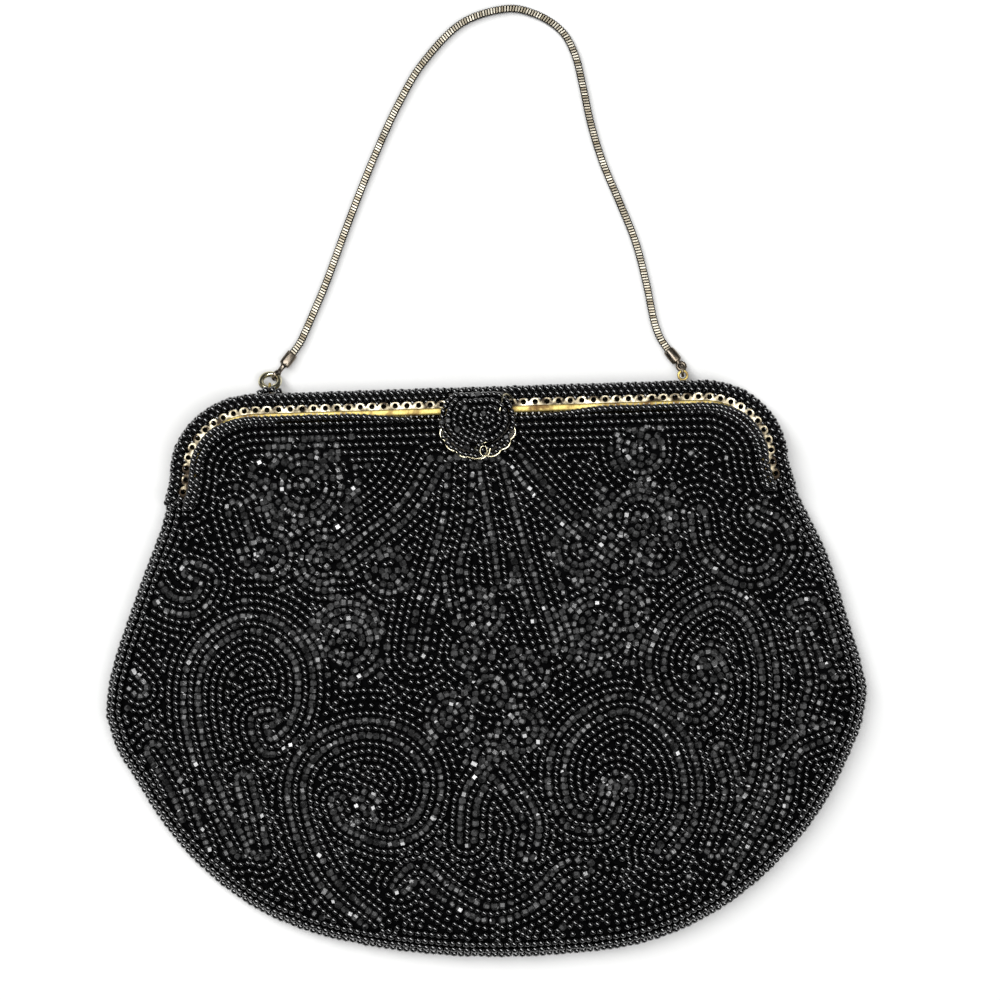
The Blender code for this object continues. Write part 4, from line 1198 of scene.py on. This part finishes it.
def long_bar(name, start, end, depths, heights, edge, segments, material):
    """A bar with soft long edges, in short lengths joined end to end, carried round the arch."""
    step = (end - start) / round((end - start) / BAR_STEP)
    low = np.array([start, depths[0], heights[0]])
    high = np.array([start + step, depths[1], heights[1]])
    bar = new_primitive(bpy.ops.mesh.primitive_cube_add, name, size=1.0)
    bpy.ops.object.mode_set(mode="EDIT")
    bpy.ops.transform.resize(value=tuple(high - low))
    bpy.ops.transform.translate(value=tuple((low + high) / 2))
    bpy.ops.mesh.select_mode(type="EDGE")
    bpy.ops.mesh.select_all(action="DESELECT")
    bpy.ops.object.mode_set(mode="OBJECT")
    for line in bar.data.edges:
        first, last = (bar.data.vertices[index].co for index in line.vertices)
        line.select = abs(first.x - last.x) > step / 2
    bpy.ops.object.mode_set(mode="EDIT")
    bpy.ops.mesh.bevel(offset=edge, segments=segments)
    bpy.ops.mesh.select_mode(type="FACE")
    bpy.ops.mesh.select_all(action="DESELECT")
    bpy.ops.object.mode_set(mode="OBJECT")
    for face in bar.data.polygons:
        face.select = abs(face.normal.x) > 0.9
    bpy.ops.object.mode_set(mode="EDIT")
    bpy.ops.mesh.delete(type="FACE")
    bpy.ops.object.mode_set(mode="OBJECT")
    apply(bar, "ARRAY", count=round((end - start) / step), use_merge_vertices=True, merge_threshold=0.01 * MM)
    bpy.ops.object.mode_set(mode="EDIT")
    bpy.ops.mesh.select_mode(type="EDGE")
    bpy.ops.mesh.select_all(action="DESELECT")
    bpy.ops.mesh.select_non_manifold()
    bpy.ops.mesh.edge_face_add()
    bpy.ops.object.mode_set(mode="OBJECT")
    carry_round(bar)
    turn_outwards(bar)
    bpy.ops.object.shade_smooth_by_angle(angle=math.radians(35))
    dress(bar, material)
    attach(bar, "bag")
    return bar


rail = long_bar("front_rail", 0.0, ARCH_LENGTH, (RAIL_DEPTH, RAIL_DEPTH + RAIL_WIDTH), (BAR_FOOT, RAIL_TOP),
                RAIL_EDGE, 3, GILT)
strip = long_bar("front_strip", STRIP_END, ARCH_LENGTH - STRIP_END, STRIP_DEPTHS, (BAR_FOOT, STRIP_TOP),
                 STRIP_EDGE, 2, TARNISH)
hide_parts("frame_front")
print("rail faces:", len(rail.data.polygons), "strip faces:", len(strip.data.polygons))

# %% [markdown]
# ### The gallery
# A pierced band of silver plate lies along the rail's outer side, with one scallop to each hole. A scallop
# is a flat ring round its hole, whose outer corners are moved: to a round crest outwards, and to a square
# foot at the rail.

# %% Make the gallery
GALLERY_START, GALLERY_LEVEL = 1.2 * MM, 12.0 * MM
GALLERY_THICKNESS, GALLERY_EDGE = 0.45 * MM, 0.09 * MM
HOLE_RADIUS, HOLE_DEPTH = 0.74 * MM, 5.30 * MM
SCALLOP_LENGTH, SCALLOP_OUT, SCALLOP_IN = 3.5 * MM, 1.22 * MM, 1.20 * MM
RING_GROWTH = 1.22
MERGE_GAP = 0.01 * MM
scallops = round((ARCH_LENGTH - 2 * GALLERY_START) / SCALLOP_LENGTH)
pitch = (ARCH_LENGTH - 2 * GALLERY_START) / scallops

gallery = new_primitive(bpy.ops.mesh.primitive_circle_add, "gallery", vertices=16, radius=HOLE_RADIUS,
                        fill_type="NOTHING")
bpy.ops.object.mode_set(mode="EDIT")
bpy.ops.mesh.select_all(action="SELECT")
for _ in range(2):
    bpy.ops.mesh.extrude_region_move()
    bpy.ops.transform.resize(value=(RING_GROWTH, RING_GROWTH, 1.0))
bpy.ops.object.mode_set(mode="OBJECT")
for vertex in gallery.data.vertices:
    reach = math.hypot(vertex.co.x, vertex.co.y)
    if reach > HOLE_RADIUS * 1.4:
        across, down = vertex.co.x / reach, vertex.co.y / reach
        square = max(abs(across), abs(down))
        outer = down < 0.01
        vertex.co.x = across * pitch / 2 if outer else across / square * pitch / 2
        vertex.co.y = down * SCALLOP_OUT if outer else down / square * SCALLOP_IN
gallery.data.transform(Matrix.Translation((GALLERY_START + pitch / 2, HOLE_DEPTH, GALLERY_LEVEL)))
apply(gallery, "ARRAY", count=scallops, use_relative_offset=False, use_constant_offset=True,
      constant_offset_displace=(pitch, 0.0, 0.0), use_merge_vertices=True, merge_threshold=MERGE_GAP)
carry_round(gallery)
turn_outwards(gallery)
apply(gallery, "SOLIDIFY", thickness=GALLERY_THICKNESS, offset=1.0)
# The band grows up or down, depending on how its faces were turned, and it must stand on its level
if sum(face.center.z for face in gallery.data.polygons) / len(gallery.data.polygons) < GALLERY_LEVEL:
    gallery.data.transform(Matrix.Translation((0, 0, GALLERY_THICKNESS)))
apply(gallery, "BEVEL", width=GALLERY_EDGE, segments=1, limit_method="ANGLE")
bpy.ops.object.shade_smooth_by_angle(angle=math.radians(40))
dress(gallery, SILVER)
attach(gallery, "bag")
print("scallops:", scallops, "faces:", len(gallery.data.polygons))

# %% [markdown]
# ### The ears and the pin of the clasp
# The clasp turns on a pin between two ears that are soldered to the frame. They are right in the solid
# model, so a copy of the solid front half is cut off just over the rail, and what stands above it is kept.

# %% Make the ears and the pin of the clasp
CUT_CLEARANCE = 0.02 * MM
ears = copy_of("frame_front", "clasp_ears")
bpy.ops.object.mode_set(mode="EDIT")
bpy.ops.mesh.select_all(action="SELECT")
bpy.ops.mesh.bisect(plane_co=(0, 0, RAIL_TOP + CUT_CLEARANCE), plane_no=(0, 0, 1), use_fill=False,
                    clear_inner=True, threshold=0.001 * MM)
bpy.ops.mesh.select_all(action="SELECT")
bpy.ops.mesh.fill_holes(sides=0)
bpy.ops.object.mode_set(mode="OBJECT")
bpy.ops.object.shade_smooth_by_angle(angle=math.radians(35))
dress(ears, TARNISH)
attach(ears, "bag")
print("ears:", len(ears.data.polygons), "faces")

# %% [markdown]
# ## Stitches under the rail
# The bag is sewn to the frame with pale thread. The stitches show as a line of tiny spots where the cloth
# meets the rail. One stitch is modelled as a short soft thread and set in even steps along the rail.

# %% Make the stitches
STITCH_RADIUS, STITCH_STEP, STITCH_SPREAD, STITCH_END = 0.24 * MM, 1.75 * MM, 0.15 * MM, 2.0 * MM
FRONT_STITCH, BACK_STITCH, STITCH_RISE = 12.15 * MM, 2.2 * MM, 0.75 * MM
# Depth inside the frame's outer edge, and how much less it is away from the clasp, in millimetres
STITCH_DEPTH, STITCH_SHIFT = 8.7, 1.6
# Distances from the clasp between which the bag begins to lap over the rail
LAP_FROM, LAP_FULL = 22 * MM, 40 * MM


def smooth_step(value, start, end):
    """A share that goes softly from 0 to 1 while the value goes from start to end."""
    share = np.clip((value - start) / (end - start), 0.0, 1.0)
    return share * share * (3 - 2 * share)


stitch = new_primitive(bpy.ops.mesh.primitive_uv_sphere_add, "stitch", segments=6, ring_count=4,
                       radius=STITCH_RADIUS)
select_where(stitch, lambda co: True)
bpy.ops.transform.resize(value=(1.0, 0.8, 1.5))
bpy.ops.object.mode_set(mode="OBJECT")
stitch_along = np.arange(STITCH_END, ARCH_LENGTH - STITCH_END, STITCH_STEP)
stitch_along += chance.normal(0, STITCH_SPREAD, len(stitch_along))
for side, side_name, height in ((1, "front", FRONT_STITCH), (-1, "back", BACK_STITCH)):
    lap = smooth_step(np.abs(stitch_along - ARCH_LENGTH / 2), LAP_FROM, LAP_FULL) * (side > 0)
    place, on, into = on_arch(stitch_along, (STITCH_DEPTH - STITCH_SHIFT * lap) * MM)
    height = height + STITCH_RISE * lap[:, None]
    lean = chance.normal(0.0, 0.25, len(stitch_along))[:, None]
    centres = np.concatenate([place, height], axis=1)
    ahead = np.concatenate([into + on * lean, np.full((len(place), 1), -0.35 * side)], axis=1)
    out = np.concatenate([into * 0.3, np.full((len(place), 1), float(side))], axis=1)
    stamp("stitches_" + side_name, stitch, centres, unit(ahead), unit(out), THREAD, "bag",
          vary=0.2)
bpy.data.objects.remove(stitch)
print("stitches a side:", len(stitch_along))

# %% [markdown]
# ## Beads that lap over the rail
# Away from the clasp the bag is gathered so full that its edge beads stand up and lap over the rail. One row
# of them rises and leans outwards along the arch, a second one fills the sides, and a few beads are listed
# one by one where the rail ends.

# %% Add the beads that lap over the rail
LAP_STEP, LAP_OVERHANG, LAP_SCALE = 1.64 * MM, 1.6 * MM, 0.95
# Distances from the clasp: where the row starts and stands full, and where it starts to lean and leans fully
LAP_START, LAP_END, LEAN_START, LEAN_END = 20 * MM, 40 * MM, 66 * MM, 86 * MM
# Depth and height of the row, and how much they change, in millimetres
LAP_DEPTH, LAP_OUT, LEAN_OUT, LAP_HEIGHT, LAP_RISE = 9.3, 1.3, 0.9, 12.5, 1.0
SIDE_FROM, SIDE_OVERHANG, SIDE_DEPTH, SIDE_HEIGHT = 60 * MM, 1.2 * MM, 8.75 * MM, 13.0 * MM
# Beads at one end of the rail, in millimetres
END_BEADS = ((86.1, 56.2, 13.1), (88.0, 56.4, 12.7), (87.0, 54.9, 12.0), (89.6, 57.2, 11.6),
             (85.9, 63.8, 13.3), (85.5, 61.9, 13.2), (86.2, 59.8, 13.2))
lap_along = np.arange(-LAP_OVERHANG, ARCH_LENGTH + LAP_OVERHANG, LAP_STEP)
from_middle = np.abs(lap_along - ARCH_LENGTH / 2)
lap_along = lap_along[from_middle > LAP_START]
rise = smooth_step(from_middle[from_middle > LAP_START], LAP_START, LAP_END)
lean_over = smooth_step(from_middle[from_middle > LAP_START], LEAN_START, LEAN_END)
place, on, into = on_arch(lap_along, (LAP_DEPTH - LAP_OUT * rise - LEAN_OUT * lean_over) * MM)
centres = np.concatenate([place, (LAP_HEIGHT + LAP_RISE * rise[:, None]) * MM], axis=1)
out = unit(np.concatenate([-into * 0.35, np.ones((len(place), 1))], axis=1))
ahead = flat_to_space(on)
side_along = np.arange(-SIDE_OVERHANG, ARCH_LENGTH + SIDE_OVERHANG, LAP_STEP)
side_along = side_along[np.abs(side_along - ARCH_LENGTH / 2) > SIDE_FROM]
place, on, into = on_arch(side_along, np.full(len(side_along), SIDE_DEPTH))
centres = np.concatenate([centres, np.concatenate([place, np.full((len(place), 1), SIDE_HEIGHT)], axis=1)])
ahead = np.concatenate([ahead, flat_to_space(on)])
out = np.concatenate([out, unit(np.concatenate([-into * 0.2, np.ones((len(place), 1))], axis=1))])
for sign in (-1, 1):
    end = np.array(END_BEADS) * [sign, 1, 1] * MM
    centres = np.concatenate([centres, end])
    ahead = np.concatenate([ahead, np.tile([1.0, 0.2 * sign, 0.0], (len(end), 1))])
    out = np.concatenate([out, np.tile([0.0, 0.0, 1.0], (len(end), 1))])
thread_beads("lap_beads", centres, unit(ahead), out, np.zeros(len(centres), bool), scale=LAP_SCALE)
print("beads over the rail:", len(centres))

# %% [markdown]
# ### The beads at the left eye
# Four beads lie at the left eye, where the ring comes out of the roll. They are too few and too uneven for a
# rule, so their places are listed one by one.

# %% Add the beads at the left eye
# Places in millimetres
EYE_BEADS = ((-65.2, 88.3, 8.0), (-63.3, 89.0, 8.3), (-61.3, 89.1, 8.3), (-59.4, 88.6, 8.0))
centres = np.array(EYE_BEADS) * MM
ahead = np.tile([1.0, 0.15, 0.0], (len(centres), 1))
out = unit(np.tile([0.0, 0.3, 1.0], (len(centres), 1)))
thread_beads("eye_beads", centres, unit(ahead), out, np.zeros(len(centres), bool))
print("beads at the eye:", len(EYE_BEADS))

# %% [markdown]
# ## The clasp
# A silver plate with a scalloped edge turns on a pin between two ears, and a beaded rose is wired onto it.
# The plate is the solid itself with a worn finish. A bright wire follows its scallops, a little inside the
# edge.

# %% Make the rim wire of the clasp
CLASP_AXIS = np.array([0.0, 84.9 * MM, 14.3 * MM])
CLASP_TILT = math.radians(3.0)
tilt_turn = np.array(Matrix.Rotation(-CLASP_TILT, 3, "X"))


def on_clasp(points):
    """Places on the clasp, measured from its pin, in the purse's own frame."""
    return np.asarray(points) @ tilt_turn.T + CLASP_AXIS


def wire(name, points, radius, material, body, sides=3):
    """A round wire through points, turned into a mesh."""
    curve = bpy.data.curves.new(name, "CURVE")
    curve.dimensions = "3D"
    curve.bevel_depth = radius
    curve.bevel_resolution = sides
    curve.use_fill_caps = True
    spline = curve.splines.new("POLY")
    spline.points.add(len(points) - 1)
    for point, place in zip(spline.points, points):
        point.co = (*place, 1.0)
    piece = bpy.data.objects.new(name, curve)
    bpy.context.scene.collection.objects.link(piece)
    activate(piece)
    bpy.ops.object.convert(target="MESH")
    piece = bpy.context.object
    bpy.ops.object.shade_smooth_by_angle(angle=math.radians(50))
    dress(piece, material)
    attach(piece, body)
    return piece


PLATE_HALF_WIDTH, PLATE_LENGTH = 11.7 * MM, 19.0 * MM
LOBES, LOBE_RISE = 7, 0.7 * MM
RIM_WIRE_INSET, RIM_WIRE_RADIUS = 0.25 * MM, 0.33 * MM
plate_middle = -PLATE_LENGTH * 0.49


def plate_edge(inset, lobe_rise=LOBE_RISE, steps=16):
    """The plate's scalloped edge, measured from the pin, moved in by a distance."""
    angles = math.pi * (1 + np.arange(LOBES * steps + 1) / (LOBES * steps))
    lobe = lobe_rise * (np.abs(np.sin(math.pi * np.arange(LOBES * steps + 1) / steps)) - 1.0) - inset
    return np.stack([(PLATE_HALF_WIDTH + lobe) * np.cos(angles),
                     plate_middle + (PLATE_LENGTH + plate_middle + lobe) * np.sin(angles)], axis=1)


edge = plate_edge(RIM_WIRE_INSET)
wire("clasp_rim_wire", on_clasp(np.concatenate([edge, np.zeros((len(edge), 1))], axis=1)), RIM_WIRE_RADIUS,
     PALE_GOLD, "clasp_lever")
print("points on the rim wire:", len(edge))

# %% [markdown]
# ### The rose
# The rose is a cushion of cloth with rings of beads that wind into a hollow heart, which lies off its middle.
# Two rows of beads lie on the plate round it, and single beads close the holes. The cushion is a copy of the
# solid rose, pulled in under its beads and made smooth.

# %% Make the rose's cushion
ROSE_SINK = 0.9 * MM
rose_surface = surface_of(nodes["clasp_rosette"])
rose_base = copy_of("clasp_rosette", "rose_base")
bpy.ops.object.mode_set(mode="EDIT")
bpy.ops.mesh.select_all(action="SELECT")
bpy.ops.transform.shrink_fatten(value=-ROSE_SINK)
bpy.ops.object.mode_set(mode="OBJECT")
apply(rose_base, "SUBSURF", levels=1, render_levels=1)
bpy.ops.object.shade_smooth()
dress(rose_base, CLOTH)
plate_surface = surface_of(nodes["clasp_plate"])
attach(rose_base, "clasp_lever")
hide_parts("clasp_rosette")
print("cushion faces:", len(rose_base.data.polygons))

# %% [markdown]
# ### The rose's beads
# The places are found in the plan first, from the outer ring to the heart, and one that is too near to an
# earlier one is left out. Then a ray gives the height of the solid rose or plate under each bead, and a soft
# wave over the rose makes five petals.

# %% Lay the rose's beads
ROSE_MIDDLE = np.array([0.0, -7.0 * MM])
ROSE_HEART = np.array([3.6 * MM, -6.6 * MM])
# Half-outline of the rose from its top edge: distance from the pin (mm), half width (mm)
ROSE_OUTLINE = ((0.6, 6.2), (-0.5, 8.2), (-2.6, 9.6), (-5.4, 10.6), (-8.6, 10.7), (-11.5, 9.2), (-14.0, 6.4),
                (-15.6, 3.2), (-16.3, 0.0))
half = [(-width * MM, down * MM) for down, width in ROSE_OUTLINE]
rose_line = walk(smooth_through(half + [(-x, y) for x, y in half[-2::-1]], FINE_STEP), FINE_STEP, True)[0]
ROSE_RINGS, ROSE_STEP = 8, 1.62 * MM
OUTER_RING, RING_SHRINK = 0.98, 0.135
ROSE_BEAD, ROSE_CUT = 0.86, 0.08
PLATE_ROWS, PLATE_LOBES, PLATE_LIMIT = (1.15 * MM, 2.8 * MM), 0.5 * MM, 0.9 * MM
PLATE_TOP = [(8.0 * MM, 0.2 * MM), (-8.0 * MM, 0.2 * MM)]
TRY_STEP = 0.4 * MM
PETALS, PETAL_RISE, PETAL_LENGTH = 5, 0.35 * MM, 1.3 * MM
# How deep a bead sits in the rose, how high on the plate, and where no solid is under it
ROSE_DEPTH, PLATE_LIFT, OPEN_LIFT, PLAN_LIFT = 0.55 * MM, 0.62 * MM, 1.2 * MM, 0.95 * MM


def rose_places():
    """Places measured from the pin: rings round the heart, two rows on the plate, then single beads."""
    found = []
    for ring in range(ROSE_RINGS):
        heart = ROSE_MIDDLE + (ROSE_HEART - ROSE_MIDDLE) * (ring / (ROSE_RINGS - 1)) ** 1.2
        ring_line = heart + (rose_line - ROSE_MIDDLE) * (OUTER_RING - RING_SHRINK * ring)
        places, ways = walk(ring_line, ROSE_STEP, True)
        found += [(*place, *way) for place, way in zip(places, ways)]
    for inset in PLATE_ROWS:
        places, ways = walk(plate_edge(inset, PLATE_LOBES), ROSE_STEP)
        found += [(*place, *way) for place, way in zip(places, ways)]
    outline = np.vstack([plate_edge(PLATE_LIMIT, PLATE_LOBES), PLATE_TOP])
    for y in np.arange(-19.0 * MM, 0.8 * MM, TRY_STEP):
        for x in np.arange(-11.0 * MM, 11.0 * MM, TRY_STEP):
            if inside(outline, np.array(x), np.array(y)):
                found.append((x, y, 1.0, 0.3))
    kept = []
    for x, y, way_x, way_y in found:
        if all((x - other[0]) ** 2 + (y - other[1]) ** 2 > (ROSE_STEP * 0.86) ** 2 for other in kept):
            kept.append((x, y, way_x, way_y))
    return kept


centres, ahead = [], []
for x, y, way_x, way_y in rose_places():
    start, down = Vector(on_clasp([(x, y, 0.02)])[0]), Vector(on_clasp([(0, 0, -1)])[0] - CLASP_AXIS)
    hit, plate_hit = rose_surface.ray_cast(start, down)[0], plate_surface.ray_cast(start, down)[0]
    from_heart_x, from_heart_y = x - ROSE_HEART[0], y - ROSE_HEART[1]
    way_round, way_out = math.atan2(from_heart_y, from_heart_x), math.hypot(from_heart_x, from_heart_y)
    petals = PETAL_RISE * math.sin(PETALS * way_round + way_out / PETAL_LENGTH)
    over_plate = plate_hit.z + PLATE_LIFT if plate_hit else on_clasp([(x, y, OPEN_LIFT)])[0][2]
    height = max(hit.z + petals - ROSE_DEPTH if hit else 0.0, over_plate)
    centres.append(np.array([start.x, on_clasp([(x, y, PLAN_LIFT)])[0][1], height]))
    ahead.append(on_clasp([(way_x, way_y, 0.0)])[0] - CLASP_AXIS)
centres, ahead = np.array(centres), np.array(ahead)
out = np.tile([0.0, 0.0, 1.0], (len(centres), 1))
thread_beads("rose_beads", centres, ahead, out, chance.random(len(centres)) < ROSE_CUT, body="clasp_lever",
             scale=ROSE_BEAD)
print("beads on the clasp:", len(centres))

# %% [markdown]
# ### The loose wires
# A wire that held the rose's beads has sprung loose at its right side, and two short ends show at its foot.
# They are drawn through a few given places.

# %% Add the loose wires
# Places in millimetres
LOOSE_WIRE = ((6.4, 78.4, 19.2), (6.8, 80.4, 19.6), (7.3, 82.4, 19.2), (7.9, 84.6, 18.2), (8.9, 85.3, 16.6),
              (10.2, 84.4, 15.0), (11.2, 82.8, 13.5))
TWIST_WIRE = ((-3.4, 67.0, 16.9), (-1.2, 66.3, 17.3), (1.0, 66.6, 17.8), (2.5, 68.0, 18.3), (2.3, 69.8, 18.6),
              (1.0, 69.9, 18.8), (0.5, 68.4, 18.6), (1.3, 67.1, 18.5), (2.9, 67.3, 18.3), (3.6, 69.2, 18.2))
ARC_WIRE = ((-0.9, 69.0, 19.0), (-0.1, 70.3, 19.4), (1.4, 70.8, 19.6), (3.0, 71.3, 19.5))
LOOSE_RADIUS, LOOSE_STEP = 0.22 * MM, 0.5 * MM
TWIST_RADIUS, TWIST_STEP = 0.24 * MM, 0.4 * MM
loose_line = smooth_through(np.array(LOOSE_WIRE) * MM, LOOSE_STEP)
wire("loose_wire", loose_line, LOOSE_RADIUS, PALE_GOLD, "clasp_lever")
for number, points in enumerate((TWIST_WIRE, ARC_WIRE), 1):
    line = smooth_through(np.array(points) * MM, TWIST_STEP)
    wire(f"rose_wire_{number}", line, TWIST_RADIUS, PALE_GOLD, "clasp_lever")
print("points on the loose wire:", len(loose_line))

# %% [markdown]
# ## Rings and end caps
# The small solids are right in shape but have few faces. A welded copy of each takes its place. Subdivision
# makes it smooth but thinner, so it is first made a little thicker.

# %% Smooth the rings and the end caps
# Solid, material, slot, how much it is thickened in millimetres
SMALL_METAL = (
    ("ring_left", PALE_GOLD, "worn_silver", 0.42), ("ring_right", BRONZE, "dark_bronze", 0.10),
    ("chain_end_left", BRONZE, "dark_bronze", 0.28), ("chain_end_right", BRONZE, "dark_bronze", 0.34),
)
for node, material, slot, grow in SMALL_METAL:
    piece = copy_of(node, node + "_smooth")
    bpy.ops.object.mode_set(mode="EDIT")
    bpy.ops.mesh.select_all(action="SELECT")
    bpy.ops.transform.shrink_fatten(value=grow * MM)
    bpy.ops.object.mode_set(mode="OBJECT")
    apply(piece, "SUBSURF", levels=2, render_levels=2)
    bpy.ops.object.shade_smooth()
    dress(piece, material)
    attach(piece, "bag")
    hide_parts(node)
    print(piece.name, len(piece.data.polygons), "faces")

# %% [markdown]
# ## The handle chain
# A snake chain is a string of small rings pushed into each other, and shows as close ribs. One rib is a
# block with bevelled edges. It is set every 0.84 mm along the route that the chain takes on the table,
# leaning a little, and the faces that look up get the tones of the bright colours, a painted highlight, while
# the others get dark tones, a painted shade.

# %% Make the chain
# Places in millimetres
CHAIN_ROUTE = (
    (-55.0, 100.4, 1.90), (-52.7, 103.7, 1.55), (-49.8, 109.6, 1.25), (-44.4, 121.4, 1.25),
    (-37.2, 139.2, 1.25), (-32.2, 151.0, 1.25), (-26.8, 162.9, 1.25), (-20.8, 174.7, 1.25),
    (-13.3, 186.5, 1.25), (-1.4, 198.1, 1.25), (12.0, 202.2, 1.25), (21.2, 200.4, 1.25),
    (28.8, 195.3, 1.25), (32.8, 188.0, 1.25), (35.0, 178.0, 1.25), (37.0, 166.9, 1.25),
    (40.3, 154.8, 1.25), (45.0, 142.6, 1.25), (49.4, 130.5, 1.25), (52.2, 118.4, 1.25),
    (54.1, 107.2, 1.50), (55.8, 101.5, 2.15), (58.0, 97.8, 2.95),
)
RIB_STEP = 0.84 * MM
RIB_WIDTH, RIB_HEIGHT, RIB_LENGTH, RIB_BEVEL = 2.26 * MM, 2.14 * MM, 1.06 * MM, 0.31 * MM
RIB_LEAN = 0.13
ROUTE_STEP = 0.4 * MM
LOOKS_UP, HIGHLIGHT_TONE_FROM, SHADE_TONE_UPTO = 0.93, 0.60, 0.45
rib = new_primitive(bpy.ops.mesh.primitive_cube_add, "rib", size=1.0)
bpy.ops.transform.resize(value=(RIB_WIDTH, RIB_HEIGHT, RIB_LENGTH))
bpy.ops.object.transform_apply()
select_where(rib, lambda co: True)
bpy.ops.mesh.bevel(offset=RIB_BEVEL, segments=1)
bpy.ops.object.mode_set(mode="OBJECT")
ribs, ribs_ahead = walk(smooth_through(np.array(CHAIN_ROUTE) * MM, ROUTE_STEP), RIB_STEP)
lean = np.cross(ribs_ahead, [0.0, 0.0, 1.0]) * RIB_LEAN
up = np.tile([0.0, 0.0, 1.0], (len(ribs), 1))
chain = stamp("handle_links", rib, ribs, unit(ribs_ahead + lean), up, SNAKE, "bag",
              smooth=False, vary=0.01)
# Painted light: faces that look up get bright tones as a highlight, the others dark tones as shade.
for face, tone in zip(chain.data.polygons, chain.data.attributes["tone"].data):
    if face.normal.z > LOOKS_UP:
        tone.value = HIGHLIGHT_TONE_FROM + (1 - HIGHLIGHT_TONE_FROM) * tone.value
    else:
        tone.value = SHADE_TONE_UPTO * tone.value
bpy.data.objects.remove(rib)
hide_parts("handle_chain")
print("ribs:", len(ribs))

# %% [markdown]
# ## The solids that stay
# Four solids need no finer copy: the back half of the frame, which lies under its roll, the two pins at the
# sides, and the clasp's plate. They only get their metals.

# %% Dress the solids that stay
KEPT_METAL = {"frame_back": GILT, "pivot_left": BRONZE, "pivot_right": BRONZE, "clasp_plate": TARNISH}
for node, material in KEPT_METAL.items():
    dress(nodes[node], material)
print("solids kept:", [name for name, node in nodes.items() if not node.hide_render])

# %% [markdown]
# ## Removing the model beads
# The two model beads have done their work and go. The dressed purse must be as large as the solid one, give
# or take the thickness of its smoothed edges.

# %% Remove the model beads
for piece in (round_bead, cut_bead):
    bpy.data.objects.remove(piece)
